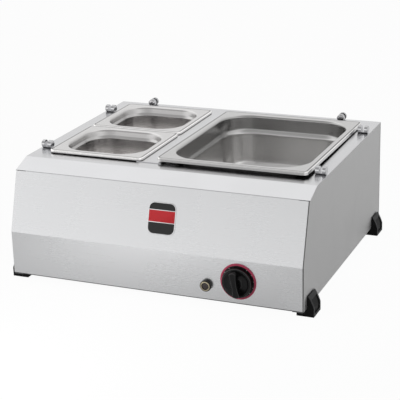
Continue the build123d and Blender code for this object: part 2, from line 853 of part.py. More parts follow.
def make_foot(name, side, centre_y):
    """A moulded foot that wraps the lower edge of a side panel.

    Args:
        name: node name of the foot.
        side: 1 on the right of the casing, -1 on the left.
        centre_y: place of the foot along the casing.
    """
    def at(out, z):
        return (side * (half_width + out), z)

    profile_plane = Plane.XZ.offset(-centre_y - foot_length / 2)
    recess_length = foot_length - 2 * foot_border
    with BuildPart() as foot:
        with BuildSketch(profile_plane):
            with BuildLine():
                Polyline(
                    at(foot_tip_out - 0.8, foot_tip_z - 0.4),
                    at(foot_gap, foot_inner_z),
                    at(foot_gap, casing_lift),
                    at(-foot_inboard, casing_lift),
                    at(-foot_inboard, 0),
                    at(foot_outboard, 0),
                    at(foot_outboard, foot_knee_z),
                )
                ThreePointArc(
                    at(foot_outboard, foot_knee_z),
                    at(foot_outboard - 3.5, foot_knee_z + 9.5),
                    at(foot_tip_out, foot_tip_z),
                )
                Line(at(foot_tip_out, foot_tip_z), at(foot_tip_out - 0.8, foot_tip_z - 0.4))
            make_face()
        extrude(amount=foot_length)
        with BuildSketch(Plane.XZ.offset(-centre_y - recess_length / 2)):
            with BuildLine():
                Polyline(
                    at(foot_outboard - foot_recess, foot_knee_z),
                    at(foot_outboard - foot_recess, foot_border),
                    at(foot_outboard + 2, foot_border),
                    at(foot_outboard + 2, foot_tip_z - 7),
                    at(foot_tip_out + 2.6, foot_tip_z - 7),
                )
                ThreePointArc(
                    at(foot_outboard - foot_recess, foot_knee_z),
                    at(foot_outboard - 4.1, foot_knee_z + 8.0),
                    at(foot_tip_out + 2.6, foot_tip_z - 7),
                )
            make_face()
        extrude(amount=recess_length, mode=Mode.SUBTRACT)
        end_faces = foot.faces().filter_by(Axis.Y).sort_by(Axis.Y)
        end_edges = end_faces[0].edges() + end_faces[-1].edges()
        knee_edges = end_edges.filter_by(lambda edge: edge.center().Z > foot_knee_z / 3)
        outer_edges = knee_edges.filter_by(lambda edge: abs(edge.center().X) > half_width + foot_tip_out)
        fillet(outer_edges, foot_edge)
        with BuildSketch(table_plane):
            with Locations((side * foot_screw_x, -centre_y)):
                Circle(screw_head_radius + 0.8)
        extrude(amount=-foot_bore, mode=Mode.SUBTRACT)
        with BuildSketch(table_plane):
            with Locations((side * foot_screw_x, -centre_y)):
                Circle(screw_hole_radius)
        extrude(amount=-casing_lift, mode=Mode.SUBTRACT)
    write(foot, name)


make_foot("foot_front_left", -1, -foot_y)
make_foot("foot_front_right", 1, -foot_y)
make_foot("foot_rear_left", -1, foot_y)
make_foot("foot_rear_right", 1, foot_y)


def make_screws(name, seat_plane, points, length):
    """A set of like pan-head screws seated on one plane, heads on its outward side."""
    with BuildPart() as screws:
        with BuildSketch(seat_plane):
            with Locations(*points):
                Circle(screw_head_radius)
        extrude(amount=screw_head_height)
        with BuildSketch(seat_plane):
            with Locations(*points):
                Circle(screw_radius)
        extrude(amount=-length)
    write(screws, name)


make_screws("foot_screws", table_plane.offset(-foot_bore), [(x, -y) for x, y in foot_screw_points], 14.0)
make_screws("rear_panel_screws", rear_plane, [(-x, z) for x, z in rear_screw_points], screw_length)
make_screws(
    "base_screws", table_plane.offset(-casing_lift), [(x, -y) for x, y in base_screw_points], screw_length
)
make_screws(
    "clamp_fixing_screws",
    table_plane.offset(sheet - deck_height),
    [(x, -y) for x, y in clamp_points],
    sheet + clamp_slot_floor - 0.5,
)


def make_clamp(place, x, y, facing):
    """A round clamp slotted across its axis, and the grub screw in its inner jaw.

    Args:
        place: where the clamp stands, used in both node names.
        x: centre of the clamp on the deck.
        y: centre of the clamp on the deck.
        facing: direction from the outer jaw to the inner one, in degrees from +X.
    """
    toward = Vector(cos(radians(facing)), sin(radians(facing)), 0)
    across = Vector(-toward.Y, toward.X, 0)
    foot_point = Vector(x, y, deck_height)
    axis_point = foot_point + Vector(0, 0, clamp_axis_height)
    outer_end = Plane(origin=axis_point - toward * (clamp_length / 2), x_dir=across, z_dir=toward)
    inner_end = outer_end.offset(clamp_length)
    slot_side = outer_end.offset(clamp_outer_jaw + clamp_slot)
    slot_plane = Plane(
        origin=foot_point + Vector(0, 0, clamp_slot_floor), x_dir=toward, z_dir=(0, 0, 1)
    )
    inner_jaw = clamp_length - clamp_outer_jaw - clamp_slot
    with BuildPart() as clamp:
        with BuildSketch(outer_end):
            Circle(clamp_radius)
        extrude(amount=clamp_length)
        chamfer(clamp.edges().filter_by(GeomType.CIRCLE), 0.8)
        with BuildSketch(outer_end):
            with Locations((0, -clamp_axis_height - clamp_radius)):
                Rectangle(3 * clamp_radius, 2 * clamp_radius)
        extrude(amount=clamp_length, mode=Mode.SUBTRACT)
        with BuildSketch(slot_plane):
            with Locations((clamp_outer_jaw + clamp_slot / 2 - clamp_length / 2, 0)):
                Rectangle(clamp_slot, 3 * clamp_radius)
        extrude(amount=3 * clamp_radius, mode=Mode.SUBTRACT)
        with BuildSketch(inner_end):
            Circle(grub_radius + grub_clearance)
        extrude(amount=-inner_jaw, mode=Mode.SUBTRACT)
        with BuildSketch(inner_end):
            Circle(clamp_radius - 1.6)
            Circle(clamp_radius - 2.6, mode=Mode.SUBTRACT)
        extrude(amount=-0.6, mode=Mode.SUBTRACT)
        with BuildSketch(Plane.XY.offset(deck_height)):
            with Locations((x, y)):
                Circle(screw_hole_radius)
        extrude(amount=clamp_slot_floor - 0.4, mode=Mode.SUBTRACT)
    write(clamp, f"glass_clamp_{place}")
    with BuildPart() as grub:
        with BuildSketch(slot_side):
            Circle(grub_radius)
        extrude(amount=grub_length)
        with BuildSketch(slot_side.offset(grub_length)):
            RegularPolygon(grub_socket / 2, 6, major_radius=False)
        extrude(amount=-2.5, mode=Mode.SUBTRACT)
    write(grub, f"clamp_screw_{place}")


for clamp_name, (clamp_x, clamp_y, clamp_facing) in clamp_places.items():
    make_clamp(clamp_name, clamp_x, clamp_y, clamp_facing)

# Leads between the terminal block, the thermostat, the lamp and the element
lead_start_y = block_y - block_depth / 2 - 0.2
with BuildPart() as internal_leads:
    for index, (end_x, end_y, end_z) in enumerate(
        (
            (element_left_x, element_end_y - 9.2, element_z),
            (lamp_x + 2.5, front_y + lamp_body_depth + 7.2, lamp_z),
            (knob_x - 10, thermostat_back_y + 8.2, knob_z + 11),
        )
    ):
        start_x = block_x + (index - 1) * block_pitch
        level = base_top + 8.0
        approach = -14.0 if index == 0 else 14.0
        with BuildLine() as lead_path:
            FilletPolyline(
                (start_x, lead_start_y, level),
                (start_x, lead_start_y - 20 - 8 * index, level),
                (end_x, lead_start_y - 20 - 8 * index, level),
                (end_x, end_y + approach, level),
                (end_x, end_y + approach, end_z),
                (end_x, end_y, end_z),
                radius=5,
            )
        lead_plane = Plane(origin=(start_x, lead_start_y, level), x_dir=(1, 0, 0), z_dir=(0, -1, 0))
        with BuildSketch(lead_plane):
            Circle(lead_radius)
        sweep(path=lead_path.line)
write(internal_leads, "internal_leads")
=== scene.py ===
"""Counter-top sausage warmer: finishes, fine pieces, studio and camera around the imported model, in metres."""

import logging
import math
from dataclasses import dataclass
from enum import Enum
from functools import lru_cache
from typing import Iterable, Sequence

import bpy
from mathutils import Euler, Matrix, Vector


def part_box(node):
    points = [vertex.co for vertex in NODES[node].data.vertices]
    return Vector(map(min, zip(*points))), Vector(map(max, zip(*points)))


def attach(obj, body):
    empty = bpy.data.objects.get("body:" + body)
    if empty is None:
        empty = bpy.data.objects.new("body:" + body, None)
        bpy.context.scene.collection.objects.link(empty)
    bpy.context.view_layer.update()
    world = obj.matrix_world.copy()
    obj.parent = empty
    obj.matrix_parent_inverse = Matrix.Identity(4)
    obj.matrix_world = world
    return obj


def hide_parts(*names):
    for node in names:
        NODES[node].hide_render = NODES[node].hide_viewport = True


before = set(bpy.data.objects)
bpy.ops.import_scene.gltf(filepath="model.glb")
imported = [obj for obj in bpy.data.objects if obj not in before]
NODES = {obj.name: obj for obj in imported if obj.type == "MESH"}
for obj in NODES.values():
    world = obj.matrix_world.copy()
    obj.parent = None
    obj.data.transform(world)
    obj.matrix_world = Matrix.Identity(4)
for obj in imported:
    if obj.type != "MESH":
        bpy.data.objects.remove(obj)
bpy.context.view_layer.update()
MM = 0.001
WELD = 0.01 * MM  # points closer than this are one point
LOG = logging.getLogger("sausage_warmer")

Pair = tuple[float, float]
Triple = tuple[float, float, float]
Colour = Triple
Settings = dict[str, object]
Node, Socket, Piece = bpy.types.Node, bpy.types.NodeSocket, bpy.types.Object

RIGHT, FRONT, REAR = Vector((1.0, 0.0, 0.0)), Vector((0.0, -1.0, 0.0)), Vector((0.0, 1.0, 0.0))


class NodeSheet:
    """A node tree with short calls that add, set and link its nodes."""

    def __init__(self, tree: bpy.types.NodeTree) -> None:
        """Keep the tree that is being drawn."""
        self.tree = tree

    def sockets(self, way: str, **kinds: str) -> None:
        """Open sockets of the tree itself.

        Args:
            way: INPUT or OUTPUT.
            kinds: the sockets' kinds by name, with underscores for spaces.
        """
        for name, kind in kinds.items():
            label = name.replace("_", " ")
            self.tree.interface.new_socket(name=label, in_out=way, socket_type=f"NodeSocket{kind}")

    def add(self, kind: str, **settings: object) -> Node:
        """Add a node.

        Args:
            kind: the node's type name.
            settings: properties of the node and their values.

        Returns:
            The new node.
        """
        node = self.tree.nodes.new(kind)
        for name, value in settings.items():
            setattr(node, name, value)
        return node

    def feed(self, target: Socket, source: object) -> None:
        """Link a socket to an input, or set the input to a plain value.

        Args:
            target: the input socket.
            source: an output socket or a plain value.
        """
        if isinstance(source, Socket):
            self.tree.links.new(source, target)
        else:
            target.default_value = source

    def fill(self, node: Node, *ordered: object, **named: object) -> Node:
        """Feed inputs of a node with sockets or plain values.

        Args:
            node: the node.
            ordered: its first inputs, in order.
            named: its inputs by name, with underscores for spaces.

        Returns:
            The node.
        """
        for target, source in zip(node.inputs, ordered):
            self.feed(target, source)
        for name, source in named.items():
            self.feed(node.inputs[name.replace("_", " ")], source)
        return node

    def step(self, kind: str, output: int | str = 0, settings: Settings | None = None, **named: object) -> Socket:
        """Add a node with its settings, feed its inputs by name and give back one of its outputs."""
        return self.fill(self.add(kind, **(settings or {})), **named).outputs[output]

    def maths(self, operation: str, *values: object) -> Socket:
        """The output of a Math node, whose values are given in order."""
        return self.fill(self.add("ShaderNodeMath", operation=operation), *values).outputs[0]

    def vector(self, operation: str, first: object, second: object) -> Socket:
        """The output of a Vector Math node with two vectors."""
        outputs = self.fill(self.add("ShaderNodeVectorMath", operation=operation), first, second).outputs
        return outputs["Value" if operation in ("DOT_PRODUCT", "DISTANCE") else "Vector"]

    def scale(self, vector: object, share: object) -> Socket:
        """A vector or colour, scaled by a share."""
        return self.step("ShaderNodeVectorMath", "Vector", {"operation": "SCALE"}, Vector=vector, Scale=share)

    def xyz(self, x: object, y: object, z: object) -> Socket:
        """A vector from three values."""
        return self.step("ShaderNodeCombineXYZ", X=x, Y=y, Z=z)

    def place(self) -> Socket:
        """The piece's own coordinates."""
        return self.step("ShaderNodeTexCoord", "Object")

    def split(self, vector: Socket) -> bpy.types.NodeOutputs:
        """The X, Y and Z of a vector."""
        return self.fill(self.add("ShaderNodeSeparateXYZ"), Vector=vector).outputs

    def parts(self, output: str) -> bpy.types.NodeOutputs:
        """The X, Y and Z of the piece's own coordinates ("Object") or of the way that a face looks ("Normal")."""
        return self.split(self.step("ShaderNodeTexCoord", output))

    def tilt(self, axis: str) -> Socket:
        """How far a face looks along an axis, either way."""
        return self.maths("ABSOLUTE", self.parts("Normal")[axis])

    def between(self, share: object, first: object, second: object) -> Socket:
        """The value that lies by a share between two others."""
        return self.maths("MULTIPLY_ADD", share, self.maths("SUBTRACT", second, first), first)

    def blend(self, mask: object, first: Colour, second: Colour) -> Socket:
        """Mix two colours.

        Args:
            mask: share of the second colour.
            first: the first colour.
            second: the second colour.

        Returns:
            The mixed colour.
        """
        mix = self.fill(self.add("ShaderNodeMix", data_type="RGBA"), mask)
        for index, colour in ((6, first), (7, second)):  # the node's two colours
            self.feed(mix.inputs[index], (*colour, 1.0))
        return mix.outputs[2]

    def ramp(self, value: object, low: float, high: float, first: object, last: object) -> Socket:
        """A smooth change from the first value to the last while what it runs over goes from low to high."""
        node = self.add("ShaderNodeMapRange", interpolation_type="SMOOTHSTEP")
        return self.fill(node, value, low, high, first, last).outputs["Result"]

    def group(self, tree: bpy.types.NodeTree, **values: object) -> bpy.types.NodeOutputs:
        """Place a node group with its inputs by name, and give back its outputs."""
        return self.fill(self.add("ShaderNodeGroup", node_tree=tree), **values).outputs

    def rays(self) -> tuple[Socket, Socket]:
        """Masks of the rays from the camera and of those from gloss or glass."""
        path = self.add("ShaderNodeLightPath").outputs
        return path["Is Camera Ray"], self.maths("MAXIMUM", path["Is Glossy Ray"], path["Is Transmission Ray"])


class ShaderGroups:
    """Surface effects that several finishes share, each drawn once."""

    PATCHES = (0.38, 0.72)  # cloud values between which a patch shows
    CLOUD_SCALE = 0.04  # clouds for each cell of a grain
    MIDDLE = 0.5  # middle value of a noise
    CELL_SHARE = 0.5  # share of a grain's cells against its clouds
    GRAIN_MIDDLE = 0.75  # middle value of cells and clouds together

    @staticmethod
    def start(
        name: str, outputs: Sequence[str], **inputs: str
    ) -> tuple[NodeSheet, bpy.types.NodeOutputs, Node]:
        """Open a new shader group.

        Args:
            name: the group's name.
            outputs: names of the value outputs.
            inputs: kinds of the inputs by name.

        Returns:
            The sheet, what the group is given and its output node.
        """
        sheet = NodeSheet(bpy.data.node_groups.new(name, "ShaderNodeTree"))
        sheet.sockets("INPUT", **inputs)
        sheet.sockets("OUTPUT", **dict.fromkeys(outputs, "Float"))
        return sheet, sheet.add("NodeGroupInput").outputs, sheet.add("NodeGroupOutput")

    @staticmethod
    @lru_cache(maxsize=None)
    def brush_lines() -> bpy.types.NodeTree:
        """Fine drawn-out lines.

        Returns:
            The group, which puts out a tone around one and a height.
        """
        sheet, given, made = ShaderGroups.start(
            "brush_lines", ("Tone", "Height"), Stretch="Vector", Contrast="Float"
        )
        drawn = sheet.vector("MULTIPLY", sheet.place(), given["Stretch"])
        lines = sheet.step("ShaderNodeTexNoise", "Fac", Vector=drawn, Scale=1.0, Detail=4.0, Roughness=0.62)
        uneven = sheet.maths("SUBTRACT", lines, ShaderGroups.MIDDLE)
        sheet.fill(made, Tone=sheet.maths("MULTIPLY_ADD", uneven, given["Contrast"], 1.0), Height=lines)
        return sheet.tree

    @staticmethod
    @lru_cache(maxsize=None)
    def handling_marks() -> bpy.types.NodeTree:
        """Soft cloudy patches left by wiping and handling.

        Returns:
            The group, which puts out a mask.
        """
        sheet, given, made = ShaderGroups.start("handling_marks", ("Mask",), Scale="Float", Amount="Float")
        clouds = sheet.step(
            "ShaderNodeTexNoise", "Fac", Vector=sheet.place(), Scale=given["Scale"], Detail=5.0, Distortion=0.6
        )
        patches = sheet.ramp(clouds, *ShaderGroups.PATCHES, 0.0, 1.0)
        sheet.fill(made, Mask=sheet.maths("MULTIPLY", patches, given["Amount"]))
        return sheet.tree

    @staticmethod
    @lru_cache(maxsize=None)
    def mould_grain() -> bpy.types.NodeTree:
        """The fine spark-eroded grain of a moulding.

        Returns:
            The group, which puts out a tone around one and a height.
        """
        sheet, given, made = ShaderGroups.start("mould_grain", ("Tone", "Height"), Scale="Float", Contrast="Float")
        place, smooth = sheet.place(), {"feature": "SMOOTH_F1"}
        height = sheet.step("ShaderNodeTexVoronoi", "Distance", smooth, Vector=place, Scale=given["Scale"])
        coarse = sheet.maths("MULTIPLY", given["Scale"], ShaderGroups.CLOUD_SCALE)
        cloud = sheet.step("ShaderNodeTexNoise", "Fac", Vector=place, Scale=coarse, Detail=3.0)
        uneven = sheet.maths("SUBTRACT", cloud, ShaderGroups.GRAIN_MIDDLE)
        mixed = sheet.maths("MULTIPLY_ADD", height, ShaderGroups.CELL_SHARE, uneven)
        sheet.fill(made, Tone=sheet.maths("MULTIPLY_ADD", mixed, given["Contrast"], 1.0), Height=height)
        return sheet.tree


class BrushRun(Enum):
    """How the grain of a metal piece runs, as the stretch of its lines along X, Y and Z."""

    ACROSS = (4.0, 900.0, 900.0)
    BACKWARD = (900.0, 4.0, 900.0)
    NONE = (420.0, 420.0, 420.0)


@dataclass(frozen=True)
class Finish:
    """A named surface finish with a linear base colour and a middle roughness."""

    name: str
    colour: Colour
    roughness: float

    @lru_cache(maxsize=None)
    def material(self) -> bpy.types.Material:
        """The finish's node material with one Principled shader.

        Returns:
            The material, drawn at its first use.
        """
        material = bpy.data.materials.new(f"{self.name}_finish")
        material.use_nodes = True
        material.diffuse_color = (*self.colour, 1.0)
        self.draw(NodeSheet(material.node_tree), material.node_tree.nodes["Principled BSDF"])
        return material

    def draw(self, sheet: NodeSheet, shader: Node) -> None:
        """Draw the nodes around the shader; each kind of finish has its own way."""
        raise NotImplementedError(self.name)

    def tint(self, sheet: NodeSheet) -> object:
        """The base colour before grain: a plain colour, or a socket where it changes over the piece."""
        return self.colour

    def shaded(self, sheet: NodeSheet, share: object) -> Socket:
        """The base colour at a share of its brightness."""
        return sheet.scale(self.colour, share)

    @staticmethod
    def bump(sheet: NodeSheet, height: Socket, depth: float) -> Socket:
        """The normal of a pattern that is as deep as given, in metres."""
        return sheet.step("ShaderNodeBump", "Normal", Strength=1.0, Distance=depth, Height=height)


@dataclass(frozen=True)
class MetalFinish(Finish):
    """A rolled, brushed or turned metal.

    Its grain follows a run, and soft marks lie over it. The depth is in metres, mark_scale in patches per metre.
    """

    run: BrushRun = BrushRun.NONE
    contrast: float = 0.006
    depth: float = 4e-8
    marks: float = 0.4
    mark_scale: float = 9.0
    mark_shade: float = 0.05
    mark_wear: float = 0.07
    clean_polish: float = 0.03
    line_wear: float = 0.02

    def draw(self, sheet: NodeSheet, shader: Node) -> None:
        """Draw the metal: grain in tone, roughness and height, with soft marks over it.

        Args:
            sheet: the material's sheet.
            shader: its shader.
        """
        lines = sheet.group(ShaderGroups.brush_lines(), Stretch=self.run.value, Contrast=self.contrast)
        mask = sheet.group(ShaderGroups.handling_marks(), Scale=self.mark_scale, Amount=self.marks)["Mask"]
        clouded = sheet.maths("MULTIPLY_ADD", mask, -self.mark_shade, 1.0)
        shade = sheet.maths("MULTIPLY", lines["Tone"], clouded)
        worn = sheet.maths("MULTIPLY_ADD", mask, self.mark_wear, self.roughness - self.clean_polish)
        uneven = sheet.maths("SUBTRACT", lines["Height"], ShaderGroups.MIDDLE)
        sheet.fill(
            shader,
            Base_Color=sheet.scale(self.tint(sheet), shade),
            Roughness=sheet.maths("MULTIPLY_ADD", uneven, self.line_wear, worn),
            Metallic=1.0,
            Normal=self.bump(sheet, lines["Height"], self.depth),
        )


@dataclass(frozen=True)
class DrawnPanFinish(MetalFinish):
    """Drawn pan steel with painted light: a satin rim with a painted dark line along its bend, painted highlights
    on the lips, painted shade on the walls with painted light on the bottom, and painted shade under the lips and
    on undersides.

    Places and widths are in metres. A pair of heights or turns is where one tone passes into the next, and a share
    is a brightness against the rim.
    """

    middle: Pair = (0.0, 0.0)
    half: Pair = (0.1, 0.1)
    corner: float = 0.009
    bend: float = 0.0024
    line: float = 0.0016
    fade: float = 2e-4
    reach: float = 0.04  # from the middle, past which a face counts as an outer one
    bottom_heights: Pair = (0.168, 0.186)
    rim_heights: Pair = (0.195, 0.2)
    under_lip_shade_heights: Pair = (0.19, 0.197)
    lip_heights: Pair = (0.2054, 0.2057)
    upward: Pair = (0.5, 0.9)
    downward: Pair = (-0.6, -0.1)
    sideways: Pair = (0.2, 0.5)
    # shares below are painted light: a dark rim line, lip highlights, a shadow at the lip's foot, wall shade,
    # bottom light and shade under the lip
    rim_line_shade_share: float = 0.3
    lip_highlight_share: float = 1.12
    side_lip_highlight_share: float = 1.5
    lip_foot_shade_share: float = 0.3
    wall_shade_share: float = 0.76
    bottom_light_share: float = 1.2
    under_shade_share: float = 0.17
    outside_share: float = 0.85

    def depth_inside(self, sheet: NodeSheet) -> Socket:
        """Distance inward from the rim's outline.

        Args:
            sheet: the material's sheet.

        Returns:
            The distance in metres.
        """
        place = sheet.parts("Object")
        beyond = []
        for axis, centre, half in zip("XY", self.middle, self.half):
            apart = sheet.maths("ABSOLUTE", sheet.maths("SUBTRACT", place[axis], centre))
            beyond.append(sheet.maths("SUBTRACT", apart, half - self.corner))
        squares = [sheet.maths("POWER", sheet.maths("MAXIMUM", gap, 0.0), 2.0) for gap in beyond]
        round_part = sheet.maths("SQRT", sheet.maths("ADD", *squares))
        straight = sheet.maths("MINIMUM", sheet.maths("MAXIMUM", *beyond), 0.0)
        return sheet.maths("SUBTRACT", self.corner, sheet.maths("ADD", round_part, straight))

    def tint(self, sheet: NodeSheet) -> Socket:
        """The steel's colour with painted shade and highlights, by the height and the turn of the face and by the
        distance from the outline.

        Args:
            sheet: the material's sheet.

        Returns:
            The colour socket.
        """
        place, turn, depth = sheet.parts("Object"), sheet.parts("Normal"), self.depth_inside(sheet)
        border, inner = (self.bend, self.bend + self.fade), self.bend + self.line
        # painted shade on the inner walls and painted light on the bottom, by height
        inside_shade_and_light = sheet.ramp(place["Z"], *self.bottom_heights, self.bottom_light_share, self.wall_shade_share)
        # painted dark line along the rim, a little in from its outline
        rim_line_shade = sheet.ramp(depth, inner, inner + self.fade, self.rim_line_shade_share, 1.0)
        flat = sheet.ramp(turn["Z"], *self.upward, 0.0, 1.0)
        rim = sheet.maths("MULTIPLY", flat, sheet.ramp(place["Z"], *self.rim_heights, 0.0, 1.0))
        away = [
            sheet.maths("MULTIPLY", sheet.maths("SUBTRACT", place[axis], centre), turn[axis])
            for axis, centre in zip("XY", self.middle)
        ]
        turned = sheet.maths("ADD", *away)
        # painted shade on the outer wall just under the lip
        under_lip_shade = sheet.ramp(place["Z"], *self.under_lip_shade_heights, self.outside_share, self.under_shade_share)
        # painted highlight on the lips, brighter still where they face sideways
        side = sheet.maths("ABSOLUTE", turn["X"])
        side_highlight = sheet.ramp(side, *self.sideways, self.lip_highlight_share, self.side_lip_highlight_share)
        # painted shadow along the lowest band of the lip's outer face, where the gap to the deck is
        edge = sheet.ramp(place["Z"], *self.lip_heights, self.lip_foot_shade_share, 1.0)
        lip = sheet.ramp(depth, *border, sheet.maths("MULTIPLY", side_highlight, edge), under_lip_shade)
        outward = sheet.ramp(turned, 0.0, self.reach, 0.0, 1.0)
        outer = sheet.between(outward, sheet.between(rim, inside_shade_and_light, rim_line_shade), lip)
        # painted shade behind the lip and on downward faces
        inward = sheet.ramp(turned, -self.reach, 0.0, 1.0, 0.0)
        behind_lip_shade = sheet.maths("MULTIPLY", sheet.ramp(depth, *border, 1.0, 0.0), inward)
        underside_shade = sheet.maths("MAXIMUM", behind_lip_shade, sheet.ramp(turn["Z"], *self.downward, 1.0, 0.0))
        return self.shaded(sheet, sheet.maths("MULTIPLY", outer, sheet.ramp(underside_shade, 0.0, 1.0, 1.0, under_lip_shade)))


@dataclass(frozen=True)
class SheetFinish(MetalFinish):
    """Folded sheet with painted shade on its cut ends, to the left and right, on its lower hem and on its
    undersides.

    A pair of heights or turns is where one tone passes into the next, and a share is the brightness that is left.
    """

    sideways: Pair = (0.85, 0.95)
    downward: Pair = (-0.6, -0.15)
    hem_heights: Pair = (0.0152, 0.0154)
    cut_end_shade_share: float = 0.2
    under_shade_share: float = 0.3
    hem_shade_share: float = 0.2

    def tint(self, sheet: NodeSheet) -> Socket:
        """The sheet's colour with painted shade, by the turn and the height of the face.

        Args:
            sheet: the material's sheet.

        Returns:
            The colour socket.
        """
        # painted shade: dark cut ends, dark undersides and a dark band along the lower hem
        cut = sheet.ramp(sheet.tilt("X"), *self.sideways, 1.0, self.cut_end_shade_share)
        underside_shade = sheet.ramp(sheet.parts("Normal")["Z"], *self.downward, self.under_shade_share, 1.0)
        hem_shade = sheet.ramp(sheet.parts("Object")["Z"], *self.hem_heights, self.hem_shade_share, 1.0)
        return self.shaded(sheet, sheet.maths("MULTIPLY", cut, sheet.maths("MINIMUM", underside_shade, hem_shade)))


@dataclass(frozen=True)
class SeamedFinish(MetalFinish):
    """Side sheet with painted shade in the seam where its front bend meets the front panel; places are in metres.
    """

    seam_side: float = 0.2609
    seam_front: float = -0.18
    seam_shade_share: float = 0.25

    def tint(self, sheet: NodeSheet) -> Socket:
        """The sheet's colour with painted shade near the seam.

        Args:
            sheet: the material's sheet.

        Returns:
            The colour socket.
        """
        place = sheet.parts("Object")
        inner = sheet.maths("LESS_THAN", sheet.maths("ABSOLUTE", place["X"]), self.seam_side)
        forward = sheet.maths("LESS_THAN", place["Y"], self.seam_front)
        seam_shade = sheet.maths("MULTIPLY", inner, forward)
        return self.shaded(sheet, sheet.ramp(seam_shade, 0.0, 1.0, 1.0, self.seam_shade_share))


@dataclass(frozen=True)
class TurnedFinish(MetalFinish):
    """Plated turned metal, lying along X or Y, with a painted highlight that makes its flat ends brighter than its
    round sides.
    """

    endways: Pair = (0.9, 0.98)
    end_highlight_share: float = 1.5

    def tint(self, sheet: NodeSheet) -> Socket:
        """The metal's colour by the turn of the face, with the painted highlight on the ends."""
        along = sheet.maths("MAXIMUM", sheet.tilt("X"), sheet.tilt("Y"))
        # painted highlight on faces that look along X or Y
        return self.shaded(sheet, sheet.ramp(along, *self.endways, 1.0, self.end_highlight_share))


@dataclass(frozen=True)
class MouldedFinish(Finish):
    """A moulded or painted surface, with a grain in cells per metre and handling marks in the gloss."""

    grain: float = 1600.0
    depth: float = 1.2e-5
    contrast: float = 0.25
    shine: float = 0.3
    marks: float = 0.5
    mark_scale: float = 40.0
    mark_wear: float = 0.1

    def draw(self, sheet: NodeSheet, shader: Node) -> None:
        """Draw the moulding: grain in colour and height, handling marks in the gloss.

        Args:
            sheet: the material's sheet.
            shader: its shader.
        """
        grain = sheet.group(ShaderGroups.mould_grain(), Scale=self.grain, Contrast=self.contrast)
        mask = sheet.group(ShaderGroups.handling_marks(), Scale=self.mark_scale, Amount=self.marks)["Mask"]
        sheet.fill(
            shader,
            Base_Color=sheet.scale(self.tint(sheet), grain["Tone"]),
            Roughness=sheet.maths("MULTIPLY_ADD", mask, self.mark_wear, self.roughness),
            Specular_IOR_Level=self.shine,
            Normal=self.bump(sheet, grain["Height"], self.depth),
        )


@dataclass(frozen=True)
class KnobFinish(MouldedFinish):
    """A moulded knob, turned towards the front, with a painted highlight on its rounded edges."""

    edge_highlight_colour: Colour = (0.045, 0.045, 0.045)
    edge_start: Pair = (0.35, 0.5)
    edge_end: Pair = (0.8, 0.92)

    def tint(self, sheet: NodeSheet) -> Socket:
        """The knob's colour, with a painted highlight by the slope of the face.

        Args:
            sheet: the material's sheet.

        Returns:
            The colour socket.
        """
        slope = sheet.tilt("Y")
        # painted highlight on faces that turn between front and side
        beside = sheet.ramp(slope, *self.edge_start, 0.0, 1.0)
        edge_highlight = sheet.maths("MULTIPLY", beside, sheet.ramp(slope, *self.edge_end, 1.0, 0.0))
        return sheet.blend(edge_highlight, self.colour, self.edge_highlight_colour)


@dataclass(frozen=True)
class DialFinish(MouldedFinish):
    """A moulded dial on an upright face with a coloured rim; its middle along X and Z is in metres."""

    rim_colour: Colour = (0.42, 0.05, 0.10)
    middle: Pair = (0.0, 0.0)
    rim_start: float = 0.0274

    def tint(self, sheet: NodeSheet) -> Socket:
        """The dial's colour by the distance from its centre.

        Args:
            sheet: the material's sheet.

        Returns:
            The colour socket.
        """
        flat = sheet.vector("MULTIPLY", sheet.place(), (1.0, 0.0, 1.0))
        radius = sheet.vector("DISTANCE", flat, (self.middle[0], 0.0, self.middle[1]))
        rim = sheet.maths("GREATER_THAN", radius, self.rim_start)
        return sheet.blend(rim, self.colour, self.rim_colour)


@dataclass(frozen=True)
class FootFinish(MouldedFinish):
    """A moulded foot whose raised border, around a recess on the outer side, has a painted highlight.

    Places and heights are in metres. The middle is along Y from the casing's own, and recess is half a length.
    """

    border_highlight_colour: Colour = (0.042, 0.042, 0.043)
    middle: float = 0.193
    recess: float = 0.013
    low: float = 0.005
    high: float = 0.028
    outer: float = 0.08  # from the middle of the casing, past which a face counts as an outer one

    def tint(self, sheet: NodeSheet) -> Socket:
        """The foot's colour: a painted highlight on outward faces outside the recess.

        Args:
            sheet: the material's sheet.

        Returns:
            The colour socket.
        """
        place = sheet.parts("Object")
        apart = sheet.maths("SUBTRACT", sheet.maths("ABSOLUTE", place["Y"]), self.middle)
        beside = sheet.maths("GREATER_THAN", sheet.maths("ABSOLUTE", apart), self.recess)
        below = sheet.maths("LESS_THAN", place["Z"], self.low)
        above = sheet.maths("GREATER_THAN", place["Z"], self.high)
        border = sheet.maths("MAXIMUM", beside, sheet.maths("MAXIMUM", below, above))
        # painted highlight on the border of outward faces, leaving the recess darker
        outward = sheet.maths("MULTIPLY", place["X"], sheet.parts("Normal")["X"])
        border_highlight = sheet.maths("MULTIPLY", border, sheet.maths("GREATER_THAN", outward, self.outer))
        return sheet.blend(border_highlight, self.colour, self.border_highlight_colour)


